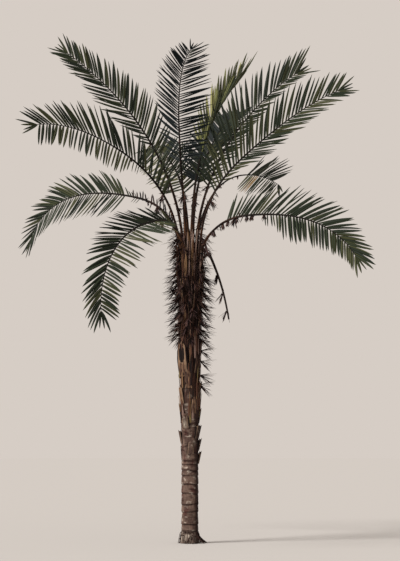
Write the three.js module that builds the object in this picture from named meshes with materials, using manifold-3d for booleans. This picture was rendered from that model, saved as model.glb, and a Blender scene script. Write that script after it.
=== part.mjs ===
// A murumuru palm: a ringed stem, a sleeve of old spiny leaf bases and a crown of feather fronds.
// Millimetres, +Z up. The origin is the middle of the flat cut at ground level, and the front is -Y.
import * as THREE from "three";
import { mergeVertices } from "three/addons/utils/BufferGeometryUtils.js";
import Module from "manifold-3d";

const { clamp, degToRad, lerp, smoothstep } = THREE.MathUtils;
const wasm = await Module();
wasm.setup();

// Clearance between neighbouring solids, and the spread within which corners are welded
const GAP = 0.3;
const WELD = 0.001;

// Stem: a straight column with ring scars below, swelling under the crown
const STEM_RADIUS = 150;
const STEM_SIDES = 18;
const FOOT_RADIUS = 168;
const FLARE_HEIGHT = 290;
const FLARE_STEPS = 4;
const BURIED_DEPTH = 40;
const RING_PITCH = 98;
const RING_SWELL = 5;
const RING_BODY = 0.86;
const SLEEVE_FLOOR = 1360;
const SLEEVE_SWELL = 32;
const SLEEVE_STEPS = 7;
const CROWN_FLOOR = 3950;
const SHELF_RADIUS = 228;
const SHELF_LIP = 90;
const SHELF_HEIGHT = 4880;
const DAIS_RADIUS = 145;
const DAIS_HEIGHT = 5000;

// Roots that show above the ground round the foot, highest and longest on the viewer's right
const ROOT_COUNT = 11;
const ROOT_STRAY = 9;
const ROOT_TOP = [80, 190];
const ROOT_REACH = [200, 310];
const ROOT_RADIUS = 26;
const ROOT_TIP_RADIUS = 12;
const ROOT_SIDES = 5;
const ROOT_STEPS = 3;
const ROOT_DIP = 0.7;

// Old leaf bases, on a spiral up the stem, larger towards the crown
const BASE_COUNT = 36;
const BASE_SPIRAL = 137.5;
const BASE_FLOOR = 1400;
const BASE_CEILING = 4530;
const BASE_TALL = [230, 470];
const BASE_TALL_UNEVEN = [0.88, 1];
const BASE_WIDE = [126, 158];
const BASE_STAND = [58, 47];
const BASE_STAND_UNEVEN = [0.85, 1.1];
const BASE_LIFT = [18, 16];
const BASE_SUNK = 25;
const BASE_FOOT_STAND = 0.2;
const BASE_TOP_WIDE = 0.64;
const BASE_ROUND = 0.4;
const BASE_LIFT_FROM = 0.55;
const SPINY_FROM = 0.32;
const SPINES_PER_BASE = 4;
const SPINE_LENGTH = [110, 190];
const SPINE_RADIUS = 5;
const SPINE_SUNK = 18;
const SPINE_ACROSS = 0.8;
const SPINE_UP = [0.25, 0.9];
const SPINE_DIP = [-45, 12];
const SPINE_SPLAY = 0.6;
const SPINE_STRAY = 23;

// Fronds: stalk and rib sizes, and how the leaflets stand on the rib
const STALK_RADIUS = 31;
const RIB_TIP_RADIUS = 5;
const RIB_TAPER_POWER = 0.85;
const RIB_ROWS = 18;
const ROW_STEPS = 4;
const BLADE_START = 0.32;
const BLADE_END = 0.985;
const ROLL_START = 0.08;
const LEAFLET_ANGLE = [62, 28];
const LEAFLET_ANGLE_POWER = 0.75;
const LEAFLET_STRAY = 3;
const LEAFLET_FOOT_LENGTH = 0.6;
const LEAFLET_TIP_LENGTH = 0.62;
const LEAFLET_SWELL_POWER = 0.8;
const LEAFLET_STAGGER = 0.25;
const LEAFLET_UNEVEN = [0.93, 1.05];
const LEAFLET_WIDE = 0.095;
const LEAFLET_THICK = 0.016;
const LEAFLET_SHOULDER = 0.26;
const LEAFLET_SUNK = 0.6;
const LEAFLET_DROOP = 0.07;
const LEAFLET_CUTS = [1, 0.8, 0.6, 0.45];
const LEAFLET_MARGIN = 12;
const LOWER_ROW = 0.84;
const HANG_GROWTH = [0.7, 1.15];
const TIP_LEAFLET = 0.46;
const TIP_ANGLE = 14;
const DEAD_LEAFLET_ANGLE = 16;

// Colours
const STEM_COLOUR = 0x6b594d;
const BASE_COLOUR = 0x4b3028;
const GREEN = 0x34432c;
const YOUNG_GREEN = 0x6f7440;
const DEAD_BROWN = 0x4a3a2e;

// Two rings of stalks: young ones on the raised middle, older ones on the shelf round it
const INNER = { radius: 110, height: DAIS_HEIGHT };
const HEART = { radius: 45, height: DAIS_HEIGHT };
const OUTER = { radius: 178, height: SHELF_HEIGHT };
const EDGE = { radius: 190, height: SHELF_HEIGHT };

// Angles are in degrees. A frond leaves its seat upright. It leans by `lean` up to the share `leanEnd`
// of its length, sooner where `early` is near 1, and arches by `arch` towards its tip. `roll` turns its
// face, and `raise` lifts its leaflets, which stand at `angles` to the rib from foot to tip of the blade.
// On a rolled frond the lower row has its own angles and length, which `lowEven` makes more even. It starts
// at the share `lateRow` of the blade, and is pulled towards straight down by `hang`. The upper row ends at
// the share `topEnd`.
const PLAIN_FROND = {
  rows: RIB_ROWS, rise: 90, early: 0, archPower: 2, sweep: 0, roll: 0, raise: 15, pairs: 19, leaflet: 730,
  angles: LEAFLET_ANGLE, lowAngles: LEAFLET_ANGLE, lowLength: LOWER_ROW, lowEven: 0, lateRow: 0, hang: 0,
  tipLength: LEAFLET_TIP_LENGTH, bladeStart: BLADE_START, topEnd: 1, bendRow: 0, colour: GREEN,
};
const FRONDS = [
  { name: "frond_front", azimuth: 224, seat: INNER, length: 4100, lean: 9, leanEnd: 0.375, early: 0.2,
    arch: 63, archPower: 3.1, sweep: 70, roll: -6, leaflet: 590, angles: [62, 44], lowAngles: [86, 62],
    lowLength: 1.1, tipLength: 0.56, bladeStart: 0.44 },
  { name: "frond_upper_left", azimuth: 170, seat: INNER, length: 4700, lean: 41, leanEnd: 0.98, early: 1,
    arch: 12, archPower: 3.2, roll: -66, angles: [60, 32], lowLength: 0.88, lateRow: 0.24 },
  { name: "frond_mid_left", azimuth: 210, seat: OUTER, length: 4240, lean: 54, leanEnd: 0.63, early: 0.46,
    arch: 48, archPower: 3.2, roll: -70, leaflet: 740, angles: [66, 38], lowLength: 0.56, lowEven: 0.7,
    lateRow: 0.24, hang: 0.8 },
  { name: "frond_low_left", azimuth: 145, seat: EDGE, length: 4800, lean: 73, leanEnd: 0.43, early: 0.18,
    arch: 88, archPower: 3.6, roll: -60, angles: [50, 32], lowLength: 0.75, lowEven: 0.4, hang: 0.48,
    bladeStart: 0.37, bendRow: 5 },
  { name: "frond_drooping_left", azimuth: 242, seat: EDGE, length: 4300, lean: 94, leanEnd: 0.35, early: 0.4,
    arch: 95, archPower: 2.6, roll: -32, leaflet: 660, angles: [46, 32], lowAngles: [124, 58],
    lateRow: 0.06, bladeStart: 0.21, bendRow: 3 },
  { name: "frond_upper_right", azimuth: 25, seat: INNER, length: 4420, lean: 39, leanEnd: 0.8, early: 0.7,
    arch: 20, archPower: 4.8, roll: 54, leaflet: 860, lowLength: 0.42, tipLength: 0.88 },
  { name: "frond_mid_right", azimuth: 340, seat: OUTER, length: 4360, lean: 49, leanEnd: 0.56, arch: 23,
    archPower: 3.7, roll: 68, leaflet: 760, angles: [64, 42], lowAngles: [50, 30], lowLength: 0.9,
    lateRow: 0.1 },
  { name: "frond_low_right", azimuth: 320, seat: EDGE, length: 4180, lean: 87, leanEnd: 0.42, early: 0.9,
    arch: 60, archPower: 2.9, roll: 60, angles: [70, 28], lowLength: 0.64, lateRow: 0.29, hang: 0.85,
    bladeStart: 0.26, bendRow: 4 },
  { name: "frond_back_right", azimuth: 62, seat: EDGE, length: 4680, lean: 68, leanEnd: 0.69, early: 0.86,
    arch: 33, archPower: 2.4, roll: -38, pairs: 9, leaflet: 780, angles: [58, 24], lowAngles: [128, 112],
    lowLength: 0.6, hang: 0.42, bladeStart: 0.69, topEnd: 0.8, bendRow: 5 },
  { name: "frond_young", azimuth: 55, seat: HEART, length: 4160, lean: 46, leanEnd: 1, arch: 2, raise: 58,
    leaflet: 800, angles: [32, 20], tipLength: 1, bladeStart: 0.5, colour: YOUNG_GREEN },
  { name: "frond_back", azimuth: 66, seat: INNER, length: 4100, lean: 28, leanEnd: 0.6, arch: 42,
    archPower: 1.8, bladeStart: 0.38 },
  { name: "frond_back_left", azimuth: 108, seat: INNER, length: 4300, lean: 46, leanEnd: 0.55, arch: 44,
    roll: -20, hang: 0.5 },
];

// One dead frond: its stalk has snapped, and the broken rib hangs down beside the stem
const SNAPPED = {
  ...PLAIN_FROND, rows: 3, azimuth: 0, seat: EDGE, length: 360, lean: 54, leanEnd: 1, arch: 0, tip: 30,
};
const HANGING = {
  ...PLAIN_FROND, rows: 6, azimuth: 0, length: 1260, rise: -67, lean: 13, leanEnd: 1, arch: 0, base: 30,
  tip: 18,
};
const HANGING_LEAFLETS = [
  { along: 0.3, side: 1, length: 260 },
  { along: 0.42, side: -1, length: 300 },
  { along: 0.56, side: 1, length: 280 },
  { along: 0.72, side: -1, length: 330 },
  { along: 0.97, side: 1, length: 220 },
];

// A repeatable run of numbers from 0 to 1
function makeDice(seed) {
  let state = seed;
  return () => {
    state = (state * 48271) % 2147483647;
    return state / 2147483647;
  };
}
const dice = makeDice(2027);
const between = (low, high) => lerp(low, high, dice());

// A closed geometry becomes a solid once its shared corners are welded
function solid(geometry) {
  const bare = new THREE.BufferGeometry();
  bare.setAttribute("position", geometry.attributes.position);
  bare.setIndex(geometry.index);
  const welded = mergeVertices(bare, WELD);
  const corners = welded.index.array;
  const kept = [];
  for (let i = 0; i < corners.length; i += 3) {
    const [a, b, c] = corners.subarray(i, i + 3);
    if (a !== b && b !== c && c !== a) kept.push(a, b, c);
  }
  const vertProperties = Float32Array.from(welded.attributes.position.array);
  return new wasm.Manifold(new wasm.Mesh({ numProp: 3, vertProperties, triVerts: Uint32Array.from(kept) }));
}

function finishedMesh(name, body, colour) {
  const { vertProperties, triVerts } = body.getMesh();
  const geometry = new THREE.BufferGeometry();
  geometry.setAttribute("position", new THREE.BufferAttribute(vertProperties, 3));
  geometry.setIndex(new THREE.BufferAttribute(triVerts, 1));
  geometry.computeVertexNormals();
  const finish = { color: colour, roughness: 0.85, metalness: 0, flatShading: true };
  const mesh = new THREE.Mesh(geometry, new THREE.MeshStandardMaterial(finish));
  mesh.name = name;
  return mesh;
}

// Moves each corner of a geometry to where `rule` sends it
function reshape(geometry, rule) {
  const place = geometry.attributes.position;
  const corner = new THREE.Vector3();
  for (let i = 0; i < place.count; i += 1) {
    corner.fromBufferAttribute(place, i);
    const moved = rule(corner);
    place.setXYZ(i, moved.x, moved.y, moved.z);
  }
  return geometry;
}

// Stem
function stemRadius(height) {
  const flare = (FOOT_RADIUS - STEM_RADIUS) * Math.max(0, 1 - height / FLARE_HEIGHT) ** 2;
  const sleeve = SLEEVE_SWELL * smoothstep(height, SLEEVE_FLOOR, CROWN_FLOOR);
  const crownSwell = SHELF_RADIUS - STEM_RADIUS - SLEEVE_SWELL;
  const crown = crownSwell * smoothstep(height, CROWN_FLOOR, SHELF_HEIGHT - SHELF_LIP);
  return STEM_RADIUS + flare + sleeve + crown;
}

function stemGeometry(clearance) {
  const profile = [new THREE.Vector2(0, -BURIED_DEPTH)];
  const addRing = (radius, height) => profile.push(new THREE.Vector2(radius + clearance, height));
  addRing(stemRadius(0), -BURIED_DEPTH);
  for (let i = 0; i < FLARE_STEPS; i += 1) {
    const height = (FLARE_HEIGHT * i) / FLARE_STEPS;
    addRing(stemRadius(height), height);
  }
  for (let height = FLARE_HEIGHT; height < SLEEVE_FLOOR - RING_PITCH; height += RING_PITCH) {
    addRing(stemRadius(height) + RING_SWELL, height);
    addRing(stemRadius(height) - RING_SWELL, height + RING_PITCH * RING_BODY);
  }
  for (let i = 0; i <= SLEEVE_STEPS; i += 1) {
    const height = lerp(SLEEVE_FLOOR, SHELF_HEIGHT - SHELF_LIP, i / SLEEVE_STEPS);
    addRing(stemRadius(height), height);
  }
  addRing(SHELF_RADIUS, SHELF_HEIGHT);
  addRing(DAIS_RADIUS, SHELF_HEIGHT);
  addRing(DAIS_RADIUS, DAIS_HEIGHT);
  profile.push(new THREE.Vector2(0, DAIS_HEIGHT));
  return new THREE.LatheGeometry(profile, STEM_SIDES).rotateX(Math.PI / 2);
}

// A root leaves the flare and dips outwards into the ground
function rootGeometry(azimuth, reach, top) {
  const tube = new THREE.CylinderGeometry(ROOT_TIP_RADIUS, ROOT_RADIUS, 1, ROOT_SIDES, ROOT_STEPS);
  const start = STEM_RADIUS - ROOT_RADIUS;
  reshape(tube, (corner) => {
    const along = corner.y + 0.5;
    const out = lerp(start, reach, along);
    const height = lerp(top, -BURIED_DEPTH, along ** ROOT_DIP);
    const slant = corner.x * Math.SQRT1_2;
    return new THREE.Vector3(out + slant, corner.z, height + slant);
  });
  return tube.rotateZ(degToRad(azimuth));
}

function makeTrunk() {
  let body = solid(stemGeometry(0));
  for (let i = 0; i < ROOT_COUNT; i += 1) {
    const azimuth = (i * 360) / ROOT_COUNT + between(-ROOT_STRAY, ROOT_STRAY);
    const rightward = (1 + Math.cos(degToRad(azimuth))) / 2;
    const root = rootGeometry(azimuth, lerp(...ROOT_REACH, rightward), lerp(...ROOT_TOP, rightward));
    body = body.add(solid(root));
  }
  const span = 4 * ROOT_REACH[1];
  const below = new THREE.BoxGeometry(span, span, span).translate(0, 0, -span / 2);
  return finishedMesh("trunk", body.subtract(solid(below)), STEM_COLOUR);
}

// Places that are taken: straight stretches with a radius, each with its owner
const taken = [];

function take(owner, start, end, radius) {
  taken.push({ owner, line: new THREE.Line3(start, end), radius });
}

function isClear(owner, line, radius) {
  const point = new THREE.Vector3();
  const nearest = new THREE.Vector3();
  const samples = 14;
  for (const other of taken) {
    if (other.owner === owner) continue;
    for (let i = 0; i <= samples; i += 1) {
      line.at(i / samples, point);
      other.line.closestPointToPoint(point, true, nearest);
      if (nearest.distanceTo(point) < radius + other.radius + LEAFLET_MARGIN) return false;
    }
  }
  return true;
}

// Fronds: the rib's line is worked out in the frond's own upright plane, with +X away from the stem
function headingAt(frond, along) {
  const share = Math.min(1, along / frond.leanEnd);
  const ease = lerp(smoothstep(share, 0, 1), Math.sin((share * Math.PI) / 2), frond.early);
  const steep = degToRad(frond.rise - frond.lean * ease - frond.arch * along ** frond.archPower);
  const turn = degToRad(frond.sweep * along);
  const flat = Math.cos(steep);
  return new THREE.Vector3(flat * Math.cos(turn), flat * Math.sin(turn), Math.sin(steep));
}

function layOut(frond) {
  const steps = frond.rows * ROW_STEPS;
  const point = new THREE.Vector3(0, 0, 0);
  const stations = [point.clone()];
  for (let step = 0; step < steps; step += 1) {
    point.addScaledVector(headingAt(frond, (step + 0.5) / steps), frond.length / steps);
    if ((step + 1) % ROW_STEPS === 0) stations.push(point.clone());
  }
  return { ...frond, stations };
}

function ribPoint(frond, along) {
  const row = along * frond.rows;
  const index = clamp(Math.floor(row), 0, frond.rows - 1);
  return frond.stations[index].clone().lerp(frond.stations[index + 1], row - index);
}

function ribRadius(frond, along) {
  return lerp(frond.base ?? STALK_RADIUS, frond.tip ?? RIB_TIP_RADIUS, along ** RIB_TAPER_POWER);
}

// The rib's own axes: along it, across its blade and up from its face
function ribAxes(frond, along) {
  const ahead = headingAt(frond, along);
  const turn = degToRad(frond.sweep * along);
  const level = new THREE.Vector3(-Math.sin(turn), Math.cos(turn), 0);
  const upright = new THREE.Vector3().crossVectors(ahead, level);
  const roll = degToRad(frond.roll * smoothstep(along, ROLL_START, BLADE_START));
  const across = level.clone().multiplyScalar(Math.cos(roll)).addScaledVector(upright, Math.sin(roll));
  const face = new THREE.Vector3().crossVectors(ahead, across);
  return { ahead, across, face };
}

// The rib is four-sided, with flat cheeks that the leaflets stand on
function ribGeometry(frond, from, to, clearance) {
  const rows = Math.round((to - from) * frond.rows);
  const tube = new THREE.CylinderGeometry(1, 1, 1, 4, rows).rotateY(Math.PI / 4);
  return reshape(tube, (corner) => {
    const along = lerp(from, to, corner.y + 0.5);
    const { across, face } = ribAxes(frond, along);
    const radius = ribRadius(frond, along) + clearance;
    const point = ribPoint(frond, along).addScaledVector(face, corner.x * radius);
    return point.addScaledVector(across, corner.z * radius);
  });
}

// A leaflet is a folded lance with a ridge along it, rooted across the middle of the rib
function leafletGeometry(leaf, length) {
  const wide = leaf.wide / Math.sqrt(3);
  const shoulder = length * LEAFLET_SHOULDER;
  const profile = [new THREE.Vector2(0, 0), new THREE.Vector2(wide, shoulder), new THREE.Vector2(0, length)];
  const flatten = leaf.thick / (1.5 * wide);
  const sideways = new THREE.Vector3().crossVectors(leaf.ahead, leaf.face);
  return reshape(new THREE.LatheGeometry(profile, 3), (corner) => {
    const sag = leaf.droop * length * (corner.y / length) ** 2;
    const point = leaf.root.clone().addScaledVector(leaf.ahead, corner.y);
    point.addScaledVector(sideways, corner.x).addScaledVector(leaf.face, corner.z * flatten);
    point.z -= sag;
    return point;
  });
}

// Where a leaflet stands on its rib: `side` is 1 or -1, `angle` is measured from the rib, and `hang` is the
// share by which it is pulled down
function standLeaflet(frond, along, side, angle, length, hang = 0) {
  const { ahead, across, face } = ribAxes(frond, along);
  const raise = degToRad(frond.raise);
  const outward = across.clone().multiplyScalar(side * Math.cos(raise));
  outward.addScaledVector(face, Math.sin(raise));
  const lay = degToRad(angle);
  const direction = ahead.clone().multiplyScalar(Math.cos(lay)).addScaledVector(outward, Math.sin(lay));
  direction.lerp(new THREE.Vector3(0, 0, -1), hang).normalize();
  const upper = new THREE.Vector3().crossVectors(ahead, outward).multiplyScalar(side);
  upper.addScaledVector(direction, -upper.dot(direction)).normalize();
  const root = ribPoint(frond, along).addScaledVector(direction, -LEAFLET_SUNK * ribRadius(frond, along));
  return {
    root, ahead: direction, face: upper, length,
    wide: length * LEAFLET_WIDE, thick: length * LEAFLET_THICK, droop: LEAFLET_DROOP,
  };
}

// Leaflets are longest near the middle of the blade
function rowLeaflets(frond, side) {
  const low = side * frond.roll < 0;
  const { lowAngles, lowLength, lowEven, lateRow, hang } = frond;
  const row = low
    ? { angles: lowAngles, scale: lowLength, even: lowEven, from: lateRow, to: 1, hang }
    : { angles: frond.angles, scale: 1, even: 0, from: 0, to: frond.topEnd, hang: 0 };
  const leaflets = [];
  for (let pair = 0; pair < frond.pairs; pair += 1) {
    const share = (pair + 0.5 + LEAFLET_STAGGER * side) / frond.pairs;
    if (share < row.from || share > row.to) continue;
    const angle = lerp(...row.angles, share ** LEAFLET_ANGLE_POWER) + between(-LEAFLET_STRAY, LEAFLET_STRAY);
    const ends = lerp(LEAFLET_FOOT_LENGTH, frond.tipLength, share);
    const swell = lerp(ends, 1, Math.sin(Math.PI * share ** LEAFLET_SWELL_POWER));
    const fullness = lerp(swell, 1, row.even);
    const length = frond.leaflet * fullness * row.scale * between(...LEAFLET_UNEVEN);
    const along = lerp(frond.bladeStart, BLADE_END, share);
    leaflets.push(standLeaflet(frond, along, side, angle, length, row.hang * lerp(...HANG_GROWTH, share)));
  }
  return leaflets;
}

function bladeLeaflets(frond) {
  const last = frond.leaflet * TIP_LEAFLET;
  const sides = frond.topEnd === 1 ? [-1, 1] : [-Math.sign(frond.roll)];
  const tips = sides.map((side) => standLeaflet(frond, (BLADE_END + 1) / 2, side, TIP_ANGLE, last));
  return [...rowLeaflets(frond, -1), ...rowLeaflets(frond, 1), ...tips];
}

// A leaflet that would touch another frond or the stem is shortened, and skipped where that is not enough
function fittingLength(frond, leaf) {
  const start = leaf.root.clone().applyMatrix4(frond.place);
  for (const cut of LEAFLET_CUTS) {
    const length = leaf.length * cut;
    const tip = leaf.root.clone().addScaledVector(leaf.ahead, length);
    tip.z -= leaf.droop * length;
    tip.applyMatrix4(frond.place);
    if (isClear(frond.name, new THREE.Line3(start, tip), leaf.wide / 2)) {
      take(frond.name, start, tip, leaf.wide / 2);
      return length;
    }
  }
  return 0;
}

function addLeaflets(frond, body, leaflets) {
  let grown = body;
  for (const leaf of leaflets) {
    const length = fittingLength(frond, leaf);
    if (length > 0) grown = grown.add(solid(leafletGeometry(leaf, length)));
  }
  return grown;
}

// A frond's place: its seat on the stem's top, turned to its azimuth
function seatFrond(frond) {
  const azimuth = degToRad(frond.azimuth);
  const { radius, height } = frond.seat;
  const place = new THREE.Matrix4().makeRotationZ(azimuth);
  place.setPosition(radius * Math.cos(azimuth), radius * Math.sin(azimuth), height + GAP);
  return { ...frond, place };
}

function takeRib(frond) {
  const stretches = 20;
  for (let i = 0; i < stretches; i += 1) {
    const start = ribPoint(frond, i / stretches).applyMatrix4(frond.place);
    const end = ribPoint(frond, (i + 1) / stretches).applyMatrix4(frond.place);
    take(frond.name, start, end, ribRadius(frond, i / stretches));
  }
}

function seatedGroup(frond, meshes) {
  const group = new THREE.Group();
  group.applyMatrix4(frond.place);
  group.add(...meshes);
  return group;
}

// A frond that arches over a wide gap is two pieces, which meet at the bend
function makeFrond(frond) {
  if (frond.bendRow === 0) {
    const body = addLeaflets(frond, solid(ribGeometry(frond, 0, 1, 0)), bladeLeaflets(frond));
    return seatedGroup(frond, [finishedMesh(frond.name, body, frond.colour)]);
  }
  const bend = frond.bendRow / frond.rows;
  const bladeFoot = bend + GAP / frond.length;
  const stalk = solid(ribGeometry(frond, 0, bend, 0));
  const blade = addLeaflets(frond, solid(ribGeometry(frond, bladeFoot, 1, 0)), bladeLeaflets(frond));
  return seatedGroup(frond, [
    finishedMesh(`${frond.name}_stalk`, stalk, frond.colour),
    finishedMesh(`${frond.name}_blade`, blade, frond.colour),
  ]);
}

function layOutBroken() {
  const stub = seatFrond(layOut({ ...SNAPPED, name: "frond_broken" }));
  const hanging = layOut({ ...HANGING, name: "frond_broken" });
  const shift = ribPoint(stub, 1);
  hanging.stations.forEach((station) => station.add(shift));
  return { stub, hanging: { ...hanging, place: stub.place } };
}

function makeBroken({ stub, hanging }) {
  const stubBody = solid(ribGeometry(stub, 0, 1, 0));
  const around = solid(ribGeometry(stub, 0, 1 + GAP / stub.length, GAP));
  const leaflets = HANGING_LEAFLETS.map(({ along, side, length }) =>
    standLeaflet(hanging, along, side, DEAD_LEAFLET_ANGLE, length));
  const ribBody = solid(ribGeometry(hanging, 0, 1, 0)).subtract(around);
  const hangingBody = addLeaflets(hanging, ribBody, leaflets);
  return seatedGroup(stub, [
    finishedMesh("frond_broken_stub", stubBody, DEAD_BROWN),
    finishedMesh("frond_broken_hanging", hangingBody, DEAD_BROWN),
  ]);
}

// Old leaf bases: each clasps the stem at its foot and stands off it at its cut top. The oldest have
// shed their spines
function baseSizes(index) {
  const rank = index / (BASE_COUNT - 1);
  return {
    foot: lerp(BASE_FLOOR, BASE_CEILING, rank),
    tall: lerp(...BASE_TALL, rank) * between(...BASE_TALL_UNEVEN),
    wide: lerp(...BASE_WIDE, rank),
    stand: lerp(...BASE_STAND, rank) * between(...BASE_STAND_UNEVEN),
    lift: lerp(...BASE_LIFT, rank),
    spines: rank < SPINY_FROM ? 0 : SPINES_PER_BASE,
  };
}

// A place on the outer face: `across` runs from -1 to 1, and `up` from 0 at the foot to 1 at the cut top
function basePoint(size, out, across, up) {
  const height = size.foot + size.tall * up;
  const skin = stemRadius(height);
  const inner = lerp(skin - BASE_SUNK, skin + size.lift, smoothstep(up, BASE_LIFT_FROM, 1));
  const outer = skin + size.stand * lerp(BASE_FOOT_STAND, 1, up) * (1 - BASE_ROUND * across ** 2);
  const radius = lerp(inner, outer, out);
  const angle = (across * size.wide * lerp(1, BASE_TOP_WIDE, up)) / 2 / skin;
  return new THREE.Vector3(radius * Math.cos(angle), radius * Math.sin(angle), height);
}

// A spine points out and mostly downwards
function spineAt(size, azimuth) {
  const across = between(-SPINE_ACROSS, SPINE_ACROSS);
  const root = basePoint(size, 1, across, between(...SPINE_UP));
  const dip = degToRad(between(...SPINE_DIP));
  const yaw = across * SPINE_SPLAY + degToRad(between(-SPINE_STRAY, SPINE_STRAY));
  const flat = Math.cos(dip);
  const direction = new THREE.Vector3(flat * Math.cos(yaw), flat * Math.sin(yaw), Math.sin(dip));
  const length = between(...SPINE_LENGTH);
  const turned = new THREE.Matrix4().makeRotationZ(azimuth);
  const start = root.clone().applyMatrix4(turned);
  const end = root.clone().addScaledVector(direction, length).applyMatrix4(turned);
  if (!isClear("stem", new THREE.Line3(start, end), SPINE_RADIUS)) return null;
  const cone = new THREE.ConeGeometry(SPINE_RADIUS, length + SPINE_SUNK, 3, 1);
  cone.translate(0, (length + SPINE_SUNK) / 2 - SPINE_SUNK, 0);
  cone.applyQuaternion(new THREE.Quaternion().setFromUnitVectors(new THREE.Vector3(0, 1, 0), direction));
  return cone.translate(root.x, root.y, root.z);
}

function makeLeafBase(index) {
  const size = baseSizes(index);
  const azimuth = degToRad(index * BASE_SPIRAL);
  const wedge = new THREE.BoxGeometry(1, 1, 1, 1, 2, 2);
  let body = solid(reshape(wedge, ({ x, y, z }) => basePoint(size, x + 0.5, 2 * y, z + 0.5)));
  for (let i = 0; i < size.spines; i += 1) {
    const spine = spineAt(size, azimuth);
    if (spine) body = body.add(solid(spine));
  }
  body = body.subtract(solid(stemGeometry(GAP).rotateZ(-azimuth)));
  const mesh = finishedMesh(`leaf_base_${String(index + 1).padStart(2, "0")}`, body, BASE_COLOUR);
  mesh.rotation.z = azimuth;
  return mesh;
}

// The whole palm: the ribs take their places first, then each frond's leaflets fit in round them
const palm = new THREE.Group();
palm.name = "murumuru_palm";
palm.add(makeTrunk());

const stemReach = SHELF_RADIUS + BASE_STAND[1];
take("stem", new THREE.Vector3(0, 0, 0), new THREE.Vector3(0, 0, SHELF_HEIGHT - stemReach), stemReach);
const fronds = FRONDS.map((frond) => seatFrond(layOut({ ...PLAIN_FROND, ...frond })));
const broken = layOutBroken();
[...fronds, broken.stub, broken.hanging].forEach(takeRib);

const crown = new THREE.Group();
crown.add(...fronds.map(makeFrond), makeBroken(broken));
palm.add(crown);

const sleeve = new THREE.Group();
for (let index = 0; index < BASE_COUNT; index += 1) sleeve.add(makeLeafBase(index));
palm.add(sleeve);

export default palm;
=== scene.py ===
import math
from dataclasses import dataclass

import bpy
import numpy as np
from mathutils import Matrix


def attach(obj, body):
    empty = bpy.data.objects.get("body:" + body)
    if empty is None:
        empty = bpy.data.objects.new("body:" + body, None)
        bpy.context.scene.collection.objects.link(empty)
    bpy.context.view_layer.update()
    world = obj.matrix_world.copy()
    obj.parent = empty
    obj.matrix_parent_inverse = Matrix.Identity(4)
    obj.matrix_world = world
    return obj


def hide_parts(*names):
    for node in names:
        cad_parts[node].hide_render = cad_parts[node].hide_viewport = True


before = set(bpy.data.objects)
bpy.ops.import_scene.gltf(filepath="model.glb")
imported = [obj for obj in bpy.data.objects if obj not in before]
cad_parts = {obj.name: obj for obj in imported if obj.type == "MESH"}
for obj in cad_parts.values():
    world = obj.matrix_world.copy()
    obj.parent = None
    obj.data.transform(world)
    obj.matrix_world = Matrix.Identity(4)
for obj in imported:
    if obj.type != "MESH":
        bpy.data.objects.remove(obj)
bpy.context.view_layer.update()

# A murumuru palm, in metres, +Z up, with the viewer on the -Y side.
SEED = 2027
DOWN = np.array([0.0, 0.0, -1.0])

# Stem
STEM_SIDES = 96
STEM_RADIUS = 0.150
FOOT_RADIUS = 0.168
FLARE_HEIGHT = 0.290
STEM_FINE_ROW = 0.012
STEM_FINE_END = 2.40
STEM_ROW = 0.030
STEM_LUMP = 0.004
SCAR_HEIGHTS = (0.21, 0.33, 0.55, 0.68, 0.88, 1.04, 1.19, 1.29, 1.39, 1.46)
SCAR_TALL = 0.013
SCAR_DEPTH = 0.008
SCAR_WAVE = 0.030
SCAR_FAINTEST = 0.45
FAINT_SCARS = 13
FAINT_SCAR_HEIGHTS = (0.06, 1.5)
FAINT_SCAR_TALL = SCAR_TALL * 0.75
FAINT_SCAR_STRENGTH = 0.9
# Slanting scars above them: height, and rise on the viewer's right
SLANT_SCARS = ((1.60, -0.05), (1.74, 0.06), (1.92, -0.07), (2.10, 0.05), (2.27, -0.06))
PALE_RING_HEIGHT = 0.10
PALE_RING_TALL = 0.08
# The side of the stem where shade is painted, on the viewer's right, and how the painted shade fades round
# it
PAINTED_SHADE_SIDE = math.radians(-12)
PAINTED_SHADE_FADE = (0.58, 0.95)
BAND_SWELL = 0.005
SLEEVE_FLOOR = 1.360
SLEEVE_FADE = 0.25
SLEEVE_DARKENS = (1.8, 3.0)
SLEEVE_SWELL = 0.032
SLEEVE_GROOVE = 0.006
CROWN_FLOOR = 3.950
SHELF_RADIUS = 0.228
SHELF_LIP = 0.090
SHELF_HEIGHT = 4.880
DAIS_RADIUS = 0.145
DAIS_HEIGHT = 5.000
SEAT_CLEAR = 0.001

# Roots that show above the ground, longest and stoutest on the viewer's right
GROUND_CLEAR = 0.001
ROOT_COUNT = 11
ROOT_STATIONS = 9
ROOT_STRAY = 0.16
ROOT_BEND = 0.3
ROOT_TOP = (0.080, 0.190)
ROOT_TOP_UNEVEN = (0.8, 1.15)
ROOT_REACH = (0.200, 0.310)
ROOT_REACH_UNEVEN = (0.95, 1.0)
ROOT_END_HEIGHT = 0.004
ROOT_RADIUS = 0.026
ROOT_TIP_RADIUS = 0.012
ROOT_SUNK = ROOT_RADIUS * 0.6
ROOT_STOUT = (0.45, 1)
ROOT_STOUT_UNEVEN = (0.7, 1.1)
ROOTLET_COUNT = 52
ROOTLET_STATIONS = 7
ROOTLET_TOP = (0.09, 0.23)
ROOTLET_RUN = (0.03, 0.090)
ROOTLET_SUNK = 0.012
ROOTLET_RADIUS = (0.005, 0.010)
ROOTLET_TIP = 0.4

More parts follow.
